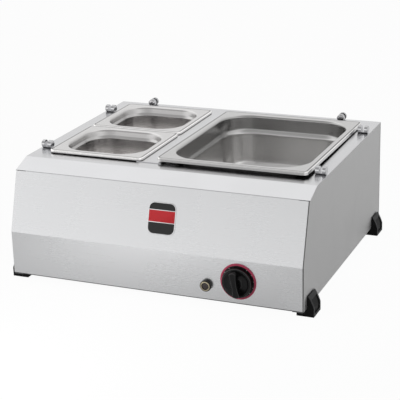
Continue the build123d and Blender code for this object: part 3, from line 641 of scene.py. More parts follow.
@dataclass(frozen=True)
class FloorFinish(Finish):
    """A pale floor, with shares of plain white for the camera and for gloss and glass, that keeps a soft shadow."""

    white: float = 0.96
    mirrored: float = 0.25
    marks: float = 0.02
    mark_scale: float = 0.6

    def draw(self, sheet: NodeSheet, shader: Node) -> None:
        """Draw the floor: matt paint, mixed with plain white by the kind of ray.

        Args:
            sheet: the material's sheet.
            shader: its shader.
        """
        mask = sheet.group(ShaderGroups.handling_marks(), Scale=self.mark_scale, Amount=self.marks)["Mask"]
        tone = sheet.maths("SUBTRACT", self.colour[0], mask)
        sheet.fill(shader, Base_Color=tone, Roughness=self.roughness, Specular_IOR_Level=0.0)
        camera, gloss = sheet.rays()
        share = sheet.maths("MULTIPLY_ADD", gloss, self.mirrored, sheet.maths("MULTIPLY", camera, self.white))
        mix = sheet.fill(sheet.add("ShaderNodeMixShader"), Fac=share)
        sheet.feed(mix.inputs[1], shader.outputs["BSDF"])
        sheet.feed(mix.inputs[2], sheet.step("ShaderNodeEmission"))
        sheet.fill(sheet.tree.nodes["Material Output"], Surface=mix.outputs["Shader"])


# front, rear and base sheets carry painted shade on cut ends, hem and undersides
CASING_FRONT = SheetFinish(
    "casing_steel_front",
    (0.66, 0.663, 0.672),
    0.30,
    run=BrushRun.ACROSS,
    contrast=0.002,
    depth=1e-8,
    marks=0.1,
)
# the side steel is a darker copy of the front steel: painted shade on the sides, plus painted shade in the front
# seam
CASING_SIDE_SHADED = SeamedFinish("casing_steel_side", (0.585, 0.585, 0.585), 0.46, run=BrushRun.BACKWARD)
DECK_STEEL = MetalFinish("casing_steel_deck", (0.636, 0.637, 0.648), 0.24, run=BrushRun.ACROSS)
TANK_STEEL = MetalFinish("tank_steel", (0.52, 0.52, 0.51), 0.34, marks=0.9)
CHROME = TurnedFinish("clamp_chrome", (0.48, 0.48, 0.49), 0.14, contrast=0.02, mark_scale=60.0)
GRUB_STEEL = MetalFinish("grub_steel", (0.27, 0.27, 0.28), 0.32, mark_scale=90.0)
LAMP_CHROME = MetalFinish("lamp_chrome", (0.40, 0.35, 0.25), 0.14, contrast=0.02, mark_scale=80.0)
ZINC = MetalFinish("zinc", (0.60, 0.61, 0.62), 0.34, mark_scale=90.0)
BRASS = MetalFinish("brass", (0.70, 0.48, 0.22), 0.30, mark_scale=60.0)
ELEMENT_STEEL = MetalFinish("element_steel", (0.36, 0.35, 0.34), 0.42, marks=1.0, mark_scale=30.0)
KNOB_PLASTIC = KnobFinish("knob_plastic", (0.004, 0.004, 0.0043), 0.24, depth=4e-6, shine=0.2)
FOOT_PLASTIC = FootFinish("foot_plastic", (0.004, 0.004, 0.0042), 0.46, depth=1.6e-5, shine=0.12)
SLEEVE_PLASTIC = MouldedFinish("lamp_sleeve", (0.004, 0.004, 0.004), 0.28, depth=4e-6, shine=0.2)
LENS_PLASTIC = MouldedFinish("lamp_lens", (0.028, 0.020, 0.018), 0.14, depth=0.0, contrast=0.15, shine=0.5)
INNER_PLASTIC = MouldedFinish("moulded_plastic", (0.045, 0.045, 0.047), 0.5)
GLAND_PLASTIC = MouldedFinish("gland_plastic", (0.022, 0.022, 0.023), 0.42)
LEAD_SLEEVE = MouldedFinish("lead_insulation", (0.26, 0.10, 0.04), 0.6, grain=2600.0, depth=6e-5, contrast=0.5)
BADGE_BLACK = MouldedFinish("badge_enamel", (0.012, 0.012, 0.012), 0.34, grain=500.0, depth=2e-6)
BADGE_RED = MouldedFinish("badge_red_enamel", (0.42, 0.016, 0.022), 0.34, grain=500.0, depth=2e-6)
BADGE_RIM = MetalFinish("badge_rim", (0.66, 0.66, 0.67), 0.18, mark_scale=60.0)
TICK_PAINT = MouldedFinish("tick_paint", (0.80, 0.79, 0.76), 0.45, grain=4000.0, depth=3e-6, contrast=0.1)
FLOOR_PAINT = FloorFinish("floor_paint", (0.84, 0.84, 0.84), 1.0)


def circle(radius: float, level: float, count: int) -> list[Triple]:
    """Points around the Z axis at a radius and a height, counter-clockwise."""
    turns = (math.tau * i / count for i in range(count))
    return [(radius * math.cos(turn), radius * math.sin(turn), level) for turn in turns]


def quarter(centre: Pair, across: float, upward: float, steps: int) -> list[Pair]:
    """Points of a quarter ellipse in a profile of radius and height, from its outer end up to its crest."""
    turns = (math.pi / 2 * step / steps for step in range(steps + 1))
    return [(centre[0] + across * math.cos(turn), centre[1] + upward * math.sin(turn)) for turn in turns]


def rounded_rectangle(
    width: float, height: float, corner: float, level: float, steps: int = 8
) -> list[Triple]:
    """Points of a rounded rectangle, counter-clockwise.

    Args:
        width: size along X.
        height: size along Y.
        corner: corner radius.
        level: the points' Z.
        steps: steps in each corner.

    Returns:
        The points.
    """
    points = []
    for quadrant, (sx, sy) in enumerate(((1, 1), (-1, 1), (-1, -1), (1, -1))):
        centre_x = sx * (width / 2 - corner)
        centre_y = sy * (height / 2 - corner)
        for step in range(steps + 1):
            turn = math.pi / 2 * (quadrant + step / steps)
            points.append((centre_x + corner * math.cos(turn), centre_y + corner * math.sin(turn), level))
    return points


class MeshDraft:
    """Vertices and faces of one piece while it is being drawn, with a finish for each face."""

    def __init__(self, place: Matrix) -> None:
        """Start an empty draft.

        Args:
            place: the matrix from its drawing space to the frame.
        """
        self.place = place
        self.points: list[Vector] = []
        self.faces: list[tuple[int, ...]] = []
        self.finish_of: list[int] = []

    def ring(self, points: Iterable[Sequence[float]]) -> list[int]:
        """Add a row of points.

        Args:
            points: points in millimetres, in the drawing space.

        Returns:
            Their indices.
        """
        first = len(self.points)
        self.points.extend(self.place @ (Vector(point) * MM) for point in points)
        return list(range(first, len(self.points)))

    def face(self, corners: Sequence[int], finish: int) -> None:
        """Add one face with its finish."""
        self.faces.append(tuple(corners))
        self.finish_of.append(finish)

    def loft(self, rings: Sequence[list[int]], finish: int = 0) -> None:
        """Join rings of equal length by quads.

        Args:
            rings: closed rings, each counter-clockwise seen from where the loft goes to.
            finish: index of the faces' finish.
        """
        for low, high in zip(rings, rings[1:]):
            for i in range(len(low)):
                j = (i + 1) % len(low)
                self.face((low[i], low[j], high[j], high[i]), finish)

    def solid(self, rings: Sequence[list[int]], finish: int = 0, top_finish: int | None = None) -> None:
        """Join rings and close both ends.

        Args:
            rings: rings from the underside to the top.
            finish: index of the faces' finish.
            top_finish: index of the top's finish, where it has its own.
        """
        self.loft(rings, finish)
        self.face(rings[0][::-1], finish)
        self.face(rings[-1], finish if top_finish is None else top_finish)

    def lathe(self, profile: Sequence[Pair], count: int, hollow: bool = False) -> None:
        """Turn a profile around the drawing space's Z axis.

        Args:
            profile: pairs of radius and height, from the underside round to the top.
            count: points around.
            hollow: whether the profile is a closed loop around a bore.
        """
        rings = [self.ring(circle(radius, height, count)) for radius, height in profile]
        if hollow:
            self.loft([*rings, rings[0]])
        else:
            self.solid(rings)

    def piece(self, name: str, *finishes: Finish, sharp_degrees: float = 35.0) -> Piece:
        """Turn the draft into an object with smooth faces and sharp creases.

        Args:
            name: the object's name.
            finishes: its finishes, in the order of the faces' indices.
            sharp_degrees: edges that turn by more stay sharp.

        Returns:
            The new object, linked to the scene.
        """
        mesh = bpy.data.meshes.new(name)
        mesh.from_pydata(self.points, [], self.faces)
        for finish in finishes:
            mesh.materials.append(finish.material())
        mesh.polygons.foreach_set("material_index", self.finish_of)
        mesh.polygons.foreach_set("use_smooth", [True] * len(mesh.polygons))
        mesh.set_sharp_from_angle(angle=math.radians(sharp_degrees))
        mesh.validate()
        mesh.update()
        return add_object(name, mesh)


def add_object(name: str, data: bpy.types.ID) -> Piece:
    """Link a new object to the scene.

    Args:
        name: its name.
        data: its mesh, lamp or camera.

    Returns:
        The object.
    """
    made = bpy.data.objects.new(name, data)
    bpy.context.scene.collection.objects.link(made)
    return made


def facing(origin: Vector, across: Vector, outward: Vector) -> Matrix:
    """The matrix of a drawing space with its origin in metres, its X direction and its Z direction."""
    turn = Matrix((across, outward.cross(across), outward)).transposed().to_4x4()
    return Matrix.Translation(origin) @ turn


def centre_of(node: str) -> Vector:
    """The middle of a CAD node's box, in metres."""
    low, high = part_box(node)
    return (low + high) / 2


def dress(finish: Finish, *names: str) -> None:
    """Give CAD nodes a finish.

    Args:
        finish: the finish.
        names: the nodes.
    """
    for name in names:
        materials = NODES[name].data.materials
        materials.clear()
        materials.append(finish.material())
        LOG.info("dressed %s in %s", name, finish.name)


def mount(piece: Piece, body: str, slot: str, *nodes: str) -> None:
    """Let a finished piece ride on its body, in place of its nodes.

    Args:
        piece: the piece.
        body: the body that carries it.
        slot: not used.
        nodes: the CAD nodes that it stands for.
    """
    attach(piece, body)
    if nodes:
        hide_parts(*nodes)
    LOG.info("made %s on %s", piece.name, body)


def islands(node: str) -> list[tuple[Vector, Vector]]:
    """The boxes of the separate solids in a CAD node.

    Args:
        node: the node's name.

    Returns:
        Lowest and highest corner of each solid, in metres.
    """
    mesh = NODES[node].data
    parent: dict[tuple[int, ...], tuple[int, ...]] = {}

    def root(key: tuple[int, ...]) -> tuple[int, ...]:
        """Follow a point to the one that stands for its solid.

        Args:
            key: the point's key.

        Returns:
            The key of that one.
        """
        while parent[key] != key:
            key = parent[key]
        return key

    keys = [tuple(round(c / WELD) for c in vertex.co) for vertex in mesh.vertices]
    for key in keys:
        parent.setdefault(key, key)
    for polygon in mesh.polygons:
        corners = [root(keys[index]) for index in polygon.vertices]
        for corner in corners[1:]:
            parent[root(corner)] = root(corners[0])
    boxes: dict[tuple[int, ...], tuple[Vector, Vector]] = {}
    for key, vertex in zip(keys, mesh.vertices):
        low, high = boxes.setdefault(root(key), (vertex.co.copy(), vertex.co.copy()))
        for axis in range(3):
            low[axis] = min(low[axis], vertex.co[axis])
            high[axis] = max(high[axis], vertex.co[axis])
    return list(boxes.values())


class GeometryTree(NodeSheet):
    """A geometry node tree that places like things, drawn in the script and then made a plain mesh."""

    def __init__(self, name: str, **inputs: str) -> None:
        """Open the tree.

        Args:
            name: the tree's name.
            inputs: kinds of its own inputs by name, with underscores for spaces.
        """
        super().__init__(bpy.data.node_groups.new(name, "GeometryNodeTree"))
        self.sockets("INPUT", Geometry="Geometry", **inputs, Finish="Material")
        self.sockets("OUTPUT", Geometry="Geometry")
        self.given = self.add("NodeGroupInput").outputs

    def scatter(self, points: Socket, instance: Socket) -> Socket:
        """Instances on points."""
        return self.step("GeometryNodeInstanceOnPoints", Points=points, Instance=instance)

    def ball(self, segments: int, rings: int) -> Socket:
        """A ball of radius one."""
        return self.step("GeometryNodeMeshUVSphere", Segments=segments, Rings=rings, Radius=1.0)

    def put(self, instances: Socket) -> Socket:
        """The instances, moved and turned by the tree's inputs Place and Turn."""
        place, turn = self.given["Place"], self.given["Turn"]
        return self.step("GeometryNodeTransform", Geometry=instances, Translation=place, Rotation=turn)

    def close(self, instances: Socket) -> "GeometryTree":
        """End the tree: real faces, smooth by angle, in the given finish.

        Args:
            instances: the placed things.

        Returns:
            The tree.
        """
        real = self.step("GeometryNodeRealizeInstances", Geometry=instances)
        smooth = self.step("GeometryNodeSetShadeSmooth", Geometry=real)
        dressed = self.step("GeometryNodeSetMaterial", Geometry=smooth, Material=self.given["Finish"])
        self.fill(self.add("NodeGroupOutput"), Geometry=dressed)
        return self

    def run(
        self, name: str, points: Sequence[Vector], finish: Finish, sharp_degrees: float = 40.0, **values: object
    ) -> Piece:
        """Run the tree on some points and keep the result as a plain mesh.

        Args:
            name: the new object's name.
            points: points that the tree may place things on, in metres.
            finish: the finish of what it makes.
            sharp_degrees: edges that turn by more stay sharp.
            values: its inputs by name, with underscores for spaces.

        Returns:
            The finished object.
        """
        seeds = bpy.data.meshes.new(name)
        seeds.from_pydata(points, [], [])
        made = add_object(name, seeds)
        modifier = made.modifiers.new("place", "NODES")
        modifier.node_group = self.tree
        items = self.tree.interface.items_tree
        sockets = {item.name: item.identifier for item in items if item.in_out == "INPUT"}
        for label, value in {**values, "Finish": finish.material()}.items():
            modifier[sockets[label.replace("_", " ")]] = value
        evaluated = made.evaluated_get(bpy.context.evaluated_depsgraph_get())
        mesh = bpy.data.meshes.new_from_object(evaluated)
        made.modifiers.clear()
        made.data = mesh
        mesh.name = name
        bpy.data.meshes.remove(seeds)
        mesh.set_sharp_from_angle(angle=math.radians(sharp_degrees))
        return made


@dataclass(frozen=True)
class ScrewSet:
    """Like cross-recess screws that stand for one CAD node, heads facing one way; sizes in millimetres."""

    node: str
    outward: tuple[int, int, int]
    seed: int
    head_radius: float = 3.5
    head_height: float = 2.0
    recess_length: float = 3.9
    recess_width: float = 0.75

    @staticmethod
    @lru_cache(maxsize=None)
    def tree() -> GeometryTree:
        """The tree that places domed heads with a cross recess on points.

        Returns:
            The tree.
        """
        sizes = dict.fromkeys(("Head_Radius", "Head_Height", "Recess_Length", "Recess_Width"), "Float")
        draft = GeometryTree("cross_recess_screws", **sizes, Turn="Vector", Seed="Int")
        given = draft.given
        radius, height = given["Head Radius"], given["Head Height"]
        length, width = given["Recess Length"], given["Recess Width"]
        spot = draft.split(draft.step("GeometryNodeInputPosition"))
        dome = draft.xyz(
            draft.maths("MULTIPLY", spot["X"], radius),
            draft.maths("MULTIPLY", spot["Y"], radius),
            draft.maths("MULTIPLY", draft.maths("MAXIMUM", spot["Z"], 0.0), height),
        )
        head = draft.step("GeometryNodeSetPosition", Geometry=draft.ball(segments=32, rings=16), Position=dome)
        cut = {"operation": "DIFFERENCE", "solver": "EXACT"}
        for along, beside in ((length, width), (width, length)):
            block = draft.step("GeometryNodeMeshCube", Size=draft.xyz(along, beside, height))
            lift = draft.xyz(0.0, 0.0, height)
            bar = draft.step("GeometryNodeTransform", Geometry=block, Translation=lift)
            head = draft.step("GeometryNodeMeshBoolean", "Mesh", cut, Mesh_1=head, Mesh_2=bar)
        spin = draft.fill(draft.add("FunctionNodeRandomValue", data_type="FLOAT"), Seed=given["Seed"])
        draft.feed(spin.inputs[3], math.pi / 2)  # the largest turn
        about = draft.xyz(0.0, 0.0, spin.outputs[1])
        turn = draft.step(
            "FunctionNodeRotateRotation",
            settings={"rotation_space": "LOCAL"},
            Rotation=draft.step("FunctionNodeEulerToRotation", Euler=given["Turn"]),
            Rotate_By=draft.step("FunctionNodeEulerToRotation", Euler=about),
        )
        screws = draft.scatter(given["Geometry"], head)
        draft.fill(screws.node, Rotation=turn)
        return draft.close(screws)

    def build(self) -> None:
        """Place the screws where the CAD node has them."""
        outward = Vector(self.outward)
        axis = max(range(3), key=lambda i: abs(outward[i]))
        seats = []
        for low, high in islands(self.node):
            seat = (low + high) / 2
            seat[axis] = (high if outward[axis] > 0 else low)[axis] - outward[axis] * self.head_height * MM
            seats.append(seat)
        made = self.tree().run(
            f"{self.node}_heads",
            seats,
            ZINC,
            Head_Radius=self.head_radius * MM,
            Head_Height=self.head_height * MM,
            Recess_Length=self.recess_length * MM,
            Recess_Width=self.recess_width * MM,
            Turn=outward.to_track_quat("Z", "Y").to_euler(),
            Seed=self.seed,
        )
        mount(made, "casing", "zinc", self.node)


@dataclass(frozen=True)
class Casing:
    """The sheet-metal casing, its tank, its feet and its screws; the front's slope is from upright."""

    slope_degrees: float = 17.14

    def dress(self) -> None:
        """Give the sheets, the tank and the feet their finishes."""
        dress(DECK_STEEL, "top_deck", "pan_support_bar")
        dress(CASING_FRONT, "front_panel", "rear_panel", "base_plate")
        dress(CASING_SIDE_SHADED, "left_side_panel", "right_side_panel")
        dress(TANK_STEEL, "water_tank")
        dress(FOOT_PLASTIC, "foot_front_left", "foot_front_right", "foot_rear_left", "foot_rear_right")
        dress(ZINC, "clamp_fixing_screws")

    def build(self) -> None:
        """Make the screws at the rear and underneath."""
        ScrewSet("rear_panel_screws", (0, 1, 0), seed=5).build()
        ScrewSet("base_screws", (0, 0, -1), seed=8).build()
        ScrewSet("foot_screws", (0, 0, -1), seed=11).build()

    def slope_outward(self) -> Vector:
        """The outward direction of the sloped front."""
        lean = math.radians(self.slope_degrees)
        return Vector((0.0, -math.cos(lean), math.sin(lean)))


@dataclass(frozen=True)
class FoodPan:
    """A drawn food pan, by its node, its steel and its painted light against the rim: shade on the walls, light on
    the bottom and highlights on the lips.
    """

    node: str
    colour: Colour
    wall_shade_share: float
    bottom_light_share: float
    lip_highlight_share: float
    roughness: float = 0.28

    def dress(self) -> None:
        """Give the pan its steel."""
        low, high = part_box(self.node)
        steel = DrawnPanFinish(
            f"{self.node}_steel",
            self.colour,
            self.roughness,
            contrast=0.0,
            depth=0.0,
            marks=0.1,
            mark_scale=22.0,
            middle=tuple((low + high) / 2)[:2],
            half=tuple((high - low) / 2)[:2],
            wall_shade_share=self.wall_shade_share,
            bottom_light_share=self.bottom_light_share,
            lip_highlight_share=self.lip_highlight_share,
        )
        dress(steel, self.node)


@dataclass(frozen=True)
class ControlKnob:
    """The thermostat knob and the dotted ring behind it; sizes in millimetres, angles from the right."""

    tick_count: int = 13
    tick_radius: float = 26.2
    tick_size: float = 0.5
    tick_height: float = 0.12
    dial_recess: float = 0.5
    first_degrees: float = -235.0
    sweep_degrees: float = 290.0

    def dress(self) -> None:
        """Give the knob, its shaft and the ring their finishes."""
        middle = centre_of("knob_ring")
        black = (0.008, 0.008, 0.008)
        dial = DialFinish("ring_plastic", black, 0.34, grain=700.0, depth=3e-6, middle=(middle.x, middle.z))
        dress(KNOB_PLASTIC, "thermostat_knob")
        dress(dial, "knob_ring")
        dress(ZINC, "thermostat_shaft", "thermostat_screws")

    @staticmethod
    def tree() -> GeometryTree:
        """The tree that places low round dots along an arc.

        Returns:
            The tree.
        """
        sizes = dict.fromkeys(("Radius", "First", "Sweep"), "Float")
        draft = GeometryTree("ring_ticks", Count="Int", **sizes, Dot="Vector", Place="Vector", Turn="Vector")
        given = draft.given
        path = draft.step(
            "GeometryNodeCurveArc",
            settings={"mode": "RADIUS"},
            Resolution=given["Count"],
            Radius=given["Radius"],
            Start_Angle=given["First"],
            Sweep_Angle=given["Sweep"],
        )
        spots = draft.step("GeometryNodeCurveToPoints", settings={"mode": "EVALUATED"}, Curve=path)
        dot = draft.step("GeometryNodeTransform", Geometry=draft.ball(segments=12, rings=6), Scale=given["Dot"])
        return draft.close(draft.put(draft.scatter(spots, dot)))

    def build(self) -> None:
        """Paint the dots on the ring."""
        low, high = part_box("knob_ring")
        made = self.tree().run(
            "ring_ticks",
            [low],
            TICK_PAINT,
            Count=self.tick_count,
            Radius=self.tick_radius * MM,
            First=math.radians(self.first_degrees),
            Sweep=math.radians(self.sweep_degrees),
            Dot=(self.tick_size * MM, self.tick_size * MM, self.tick_height * MM),
            Place=((low.x + high.x) / 2, low.y + self.dial_recess * MM, (low.z + high.z) / 2),
            Turn=Euler((math.pi / 2, 0.0, 0.0)),
        )
        mount(made, "casing", "ring_plastic")


@dataclass(frozen=True)
class PilotLamp:
    """The pilot lamp on the front and its body behind the panel; sizes in millimetres."""

    bezel_radius: float = 8.2
    bezel_bore: float = 6.1
    bezel_height: float = 1.0
    bezel_foot: float = 0.25
    bezel_crest: float = 0.3
    bezel_drop: float = 0.25
    lens_radius: float = 6.0
    lens_depth: float = 3.6
    lens_crown: float = 1.5

    def dress(self) -> None:
        """Give the lamp's plain pieces their finishes."""
        dress(SLEEVE_PLASTIC, "lamp_sleeve")
        dress(INNER_PLASTIC, "lamp_body")
        dress(ZINC, "lamp_nut")

    def draft(self, node: str, height: float) -> MeshDraft:
        """Start a lamp piece, drawn with Z outward.

        Args:
            node: the piece's CAD node.
            height: the piece's height.

        Returns:
            A draft on the piece's inner end.
        """
        low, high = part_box(node)
        origin = Vector(((low.x + high.x) / 2, low.y + height * MM, (low.z + high.z) / 2))
        return MeshDraft(facing(origin, RIGHT, FRONT))

    def build(self) -> None:
        """Turn the rounded bezel and the crowned lens."""
        bezel = self.draft("lamp_ring", self.bezel_height)
        bore, top, foot = self.bezel_bore, self.bezel_height, self.bezel_foot
        shoulder = quarter((bore, foot), self.bezel_radius - bore, top - foot, steps=8)[:-1]
        crest = [(bore + self.bezel_crest, top), (bore, top - self.bezel_drop)]
        bezel.lathe([(bore, 0.0), (self.bezel_radius, 0.0), *shoulder, *crest], count=48, hollow=True)
        mount(bezel.piece("lamp_bezel", LAMP_CHROME), "casing", "lamp_chrome", "lamp_ring")
        lens = self.draft("lamp_lens", self.lens_depth)
        crown = quarter((0.0, self.lens_depth - self.lens_crown), self.lens_radius, self.lens_crown, steps=10)[:-1]
        lens.lathe([(self.lens_radius, 0.0), *crown], count=40)
        mount(lens.piece("lamp_lens_crowned", LENS_PLASTIC), "casing", "lamp_lens", "lamp_lens")


@dataclass(frozen=True)
class BadgePlate:
    """A plain enamelled plate on the sloped front; sizes in millimetres.

    The red band is given by its lower and upper edge from the middle, and the bars' bevel by its width and drop.
    """

    width: float = 49.0
    height: float = 53.0
    corner: float = 11.0
    thickness: float = 1.2
    rim: float = 1.4
    bevel: float = 0.35
    soft: float = 0.1
    sunk: float = 0.3
    band: Pair = (-6.0, 13.0)
    band_rise: float = 0.1
    line: float = 1.1
    line_rise: float = 0.16
    bar_corner: float = 0.3
    bar_bevel: Pair = (0.05, 0.04)

    def build(self, outward: Vector) -> None:
        """Draw the plate on the slope.

        Args:
            outward: outward direction of the sloped front.
        """
        middle = centre_of("badge_plate") - outward * (self.thickness / 2 * MM)
        draft = MeshDraft(facing(middle, RIGHT, outward))
        top, field, soft = self.thickness, self.thickness - self.sunk, self.soft
        edge = [(0.0, 0.0), (0.0, top - self.bevel), (soft, top - soft), (self.bevel, top)]
        edge += [(self.rim - 2 * soft, top), (self.rim, top - soft), (self.rim + soft, field)]
        rows = []
        for inset, level in edge:
            width, height = self.width - 2 * inset, self.height - 2 * inset
            rows.append(draft.ring(rounded_rectangle(width, height, self.corner - inset, level)))
        draft.solid(rows, finish=0, top_finish=1)
        low, high = self.band
        self.bar(draft, low, high, self.band_rise, finish=2)
        self.bar(draft, low - self.line, low, self.line_rise, finish=0)
        self.bar(draft, high, high + self.line, self.line_rise, finish=0)
        piece = draft.piece("badge_plate_bare", BADGE_RIM, BADGE_BLACK, BADGE_RED, sharp_degrees=50.0)
        mount(piece, "casing", "badge_enamel", "badge_plate")

    def bar(self, draft: MeshDraft, low: float, high: float, rise: float, finish: int) -> None:
        """Lay a bar across the enamel.

        Args:
            draft: the plate's draft.
            low: the bar's lower edge.
            high: its upper edge.
            rise: its rise over the enamel.
            finish: index of its finish.
        """
        width, field = self.width - 2 * (self.rim + self.soft), self.thickness - self.sunk
        inset, drop = self.bar_bevel
        rows = []
        for taken, level in ((0.0, field - self.soft), (0.0, field + rise - drop), (inset, field + rise)):
            outline = rounded_rectangle(width - 2 * taken, high - low, self.bar_corner, level)
            rows.append(draft.ring((x, y + (low + high) / 2, z) for x, y, z in outline))
        draft.solid(rows, finish)


@dataclass(frozen=True)
class GlassClamp:
    """A clamp for a glass guard and its grub screw, named by where it stands."""

    place: str

    def dress(self) -> None:
        """Give the clamp and its screw their finishes."""
        dress(CHROME, f"glass_clamp_{self.place}")
        dress(GRUB_STEEL, f"clamp_screw_{self.place}")


@dataclass(frozen=True)
class CableGland:
    """The cable gland at the rear; sizes in millimetres, profiles in pairs of radius and height from the panel."""

    hexagon: tuple[Pair, ...] = ((12.4, 0.0), (13.0, 0.5), (13.0, 6.3), (12.2, 7.0))
    sleeve: tuple[Pair, ...] = ((4.5, -11.2), (7.8, -11.2), (7.8, 6.0), (10.1, 6.0), (10.5, 7.4))
    mouth: tuple[Pair, ...] = ((5.5, 24.9), (5.1, 23.8), (4.5, 23.6))
    nut_radius: float = 10.5
    nut_start: float = 7.0
    nut_round: float = 4.0
    reach: float = 25.0
    rib_count: int = 18
    rib_radius: float = 0.7
    rib_sink: float = 0.15

    @staticmethod
    def tree() -> GeometryTree:
        """The tree that stands round ribs on a circle.

        Returns:
            The tree.
        """
        sizes = dict.fromkeys(("Circle", "Rib_Radius", "Rib_Length"), "Float")
        draft = GeometryTree("gland_ribs", Count="Int", **sizes, Place="Vector", Turn="Vector")
        given = draft.given
        spots = draft.step("GeometryNodeMeshCircle", Vertices=given["Count"], Radius=given["Circle"])
        size = draft.xyz(given["Rib Radius"], given["Rib Radius"], given["Rib Length"])
        rib = draft.step("GeometryNodeTransform", Geometry=draft.ball(segments=12, rings=8), Scale=size)
        return draft.close(draft.put(draft.scatter(spots, rib)))

    def dress(self) -> None:
        """Give the lock nut its finish."""
        dress(GLAND_PLASTIC, "gland_lock_nut")

    def build(self) -> None:
        """Draw the gland and set the ribs around its dome nut."""
        low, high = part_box("cable_gland")
        origin = Vector(((low.x + high.x) / 2, high.y - self.reach * MM, (low.z + high.z) / 2))
        space = facing(origin, -RIGHT, REAR)
        draft = MeshDraft(space)
        draft.solid([draft.ring(circle(radius, level, count=6)) for radius, level in self.hexagon])
        dome_end = self.reach - self.nut_round
        dome = quarter((self.nut_radius - self.nut_round, dome_end), self.nut_round, self.nut_round, steps=8)
        draft.lathe([*self.sleeve, *dome, *self.mouth], count=48, hollow=True)
        mount(draft.piece("rear_cable_gland", GLAND_PLASTIC), "casing", "moulded_plastic", "cable_gland")
        middle = space @ Vector((0.0, 0.0, (self.nut_start + dome_end) / 2 * MM))
        ribs = self.tree().run(
            "gland_ribs",
            [middle],
            GLAND_PLASTIC,
            Count=self.rib_count,
            Circle=(self.nut_radius - self.rib_sink) * MM,
            Rib_Radius=self.rib_radius * MM,
            Rib_Length=(dome_end - self.nut_start) / 2 * MM,
            Place=middle,
            Turn=space.to_euler(),
        )
        mount(ribs, "casing", "moulded_plastic")


@dataclass(frozen=True)
class HeatingParts:
    """The heating element, the sensing parts and the wiring inside the casing."""

    def dress(self) -> None:
        """Give the inner pieces their finishes."""
        dress(ELEMENT_STEEL, "heating_element")
        dress(BRASS, "element_glands", "capillary_tube", "sensor_bulb")
        dress(ZINC, "bulb_clip")
        dress(INNER_PLASTIC, "thermostat_body", "terminal_block")
        dress(LEAD_SLEEVE, "internal_leads")


@dataclass(frozen=True)
class SoftLight:
    """A soft lamp for matt surfaces, whose face doesn't show in polished ones; a brightness of 1 is white."""

    name: str
    place: Triple
    aim: Triple
    size: Pair
    brightness: float

    def build(self) -> None:
        """Hang the lamp."""
        lamp = bpy.data.lights.new(self.name, "AREA")
        lamp.shape = "RECTANGLE"
        lamp.size, lamp.size_y = self.size
        lamp.energy = self.brightness * math.pi * self.size[0] * self.size[1]
        made = add_object(self.name, lamp)
        made.location = self.place
        made.visible_camera = False
        made.visible_glossy = False
        made.rotation_euler = (Vector(self.aim) - Vector(self.place)).to_track_quat("-Z", "Y").to_euler()


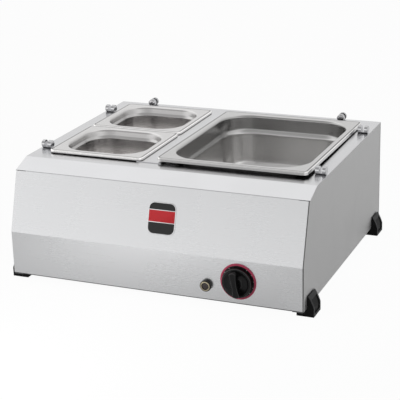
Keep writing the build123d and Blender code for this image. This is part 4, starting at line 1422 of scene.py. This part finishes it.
@dataclass(frozen=True)
class Studio:
    """Pale floor, soft light and the camera at the photograph's angle.

    The surround has its plain brightness at the back. It swings up along one way and is dimmer along another, which
    is overhead at the front; each range is where along its way the change starts and ends.
    """

    azimuth_degrees: float = 22.91
    elevation_degrees: float = 19.04
    roll_degrees: float = -1.59
    lens: float = 114.57
    sensor: float = 36.0
    stand: Triple = (0.8287, -1.9755, 0.8381)
    floor_half: float = 14.0
    surround: float = 0.92
    swing: float = 0.51
    swing_way: Triple = (-0.4, -0.8, 0.45)
    swing_range: Pair = (-0.4, 0.6)
    overhead: float = 0.42
    overhead_way: Triple = (0.0, -0.6, 0.8)
    overhead_range: Pair = (0.55, 0.9)
    fill: float = 0.40
    lights: tuple[SoftLight, ...] = (
        SoftLight("key_light", (-0.14, -0.62, 0.27), (-0.11, -0.4, 0.0), (0.26, 0.3), 5.9),
        SoftLight("back_light", (1.35, 1.2, 1.0), (0.45, 0.25, 0.0), (1.2, 1.2), 1.6),
    )

    def build(self) -> None:
        """Set up everything around the object."""
        bpy.context.scene.view_settings.view_transform = "Standard"
        self.build_camera()
        self.build_floor()
        self.build_surround()
        for light in self.lights:
            light.build()

    def build_camera(self) -> None:
        """Place the camera by its angles."""
        angles = (self.azimuth_degrees, self.elevation_degrees, self.roll_degrees)
        turn, rise, roll = (math.radians(angle) for angle in angles)
        back = Vector((math.sin(turn) * math.cos(rise), -math.cos(turn) * math.cos(rise), math.sin(rise)))
        level = Vector((math.cos(turn), math.sin(turn), 0.0))
        across = math.cos(roll) * level + math.sin(roll) * back.cross(level)
        data = bpy.data.cameras.new("camera")
        data.lens = self.lens
        data.sensor_width = self.sensor
        camera = add_object("camera", data)
        camera.matrix_world = facing(Vector(self.stand), across, back)
        bpy.context.scene.camera = camera

    def build_floor(self) -> None:
        """Lay the floor."""
        half = self.floor_half
        mesh = bpy.data.meshes.new("floor")
        corners = [(-half, -half, 0), (half, -half, 0), (half, half, 0), (-half, half, 0)]
        mesh.from_pydata(corners, [], [(0, 1, 2, 3)])
        mesh.materials.append(FLOOR_PAINT.material())
        floor = add_object("floor", mesh)

    def build_surround(self) -> None:
        """Make the pale surround, a little brighter towards the front left."""
        world = bpy.data.worlds.new("surround")
        world.use_nodes = True
        bpy.context.scene.world = world
        sheet = NodeSheet(world.node_tree)
        way = sheet.step("ShaderNodeTexCoord", "Generated")
        toward = sheet.vector("DOT_PRODUCT", way, self.swing_way)
        above = sheet.vector("DOT_PRODUCT", way, self.overhead_way)
        swing = sheet.ramp(toward, *self.swing_range, self.surround, self.surround + self.swing)
        shine = sheet.maths("MULTIPLY", swing, sheet.ramp(above, *self.overhead_range, 1.0, self.overhead))
        camera, gloss = sheet.rays()
        level = sheet.step("ShaderNodeMix", "Result", {"data_type": "FLOAT"}, Factor=gloss, A=self.fill, B=shine)
        strength = sheet.maths("MAXIMUM", level, camera)
        sheet.fill(world.node_tree.nodes["Background"], Color=(1.0, 1.0, 1.0, 1.0), Strength=strength)


def main() -> None:
    """Build the classes in order."""
    logging.basicConfig(level=logging.INFO, format="%(message)s")
    casing = Casing()
    casing.dress()
    casing.build()
    FoodPan("large_pan", (0.56, 0.555, 0.55), wall_shade_share=0.68, bottom_light_share=1.14, lip_highlight_share=1.12).dress()
    for node in ("small_pan_front", "small_pan_rear"):
        FoodPan(node, (0.66, 0.65, 0.645), wall_shade_share=0.74, bottom_light_share=1.4, lip_highlight_share=1.42).dress()
    for fitting in (ControlKnob(), PilotLamp()):
        fitting.dress()
        fitting.build()
    BadgePlate().build(casing.slope_outward())
    for place in ("left_front", "left_rear", "right_front", "right_rear", "back_left", "back_right"):
        GlassClamp(place).dress()
    gland = CableGland()
    gland.build()
    gland.dress()
    HeatingParts().dress()
    Studio().build()


if __name__ == "__main__":
    main()
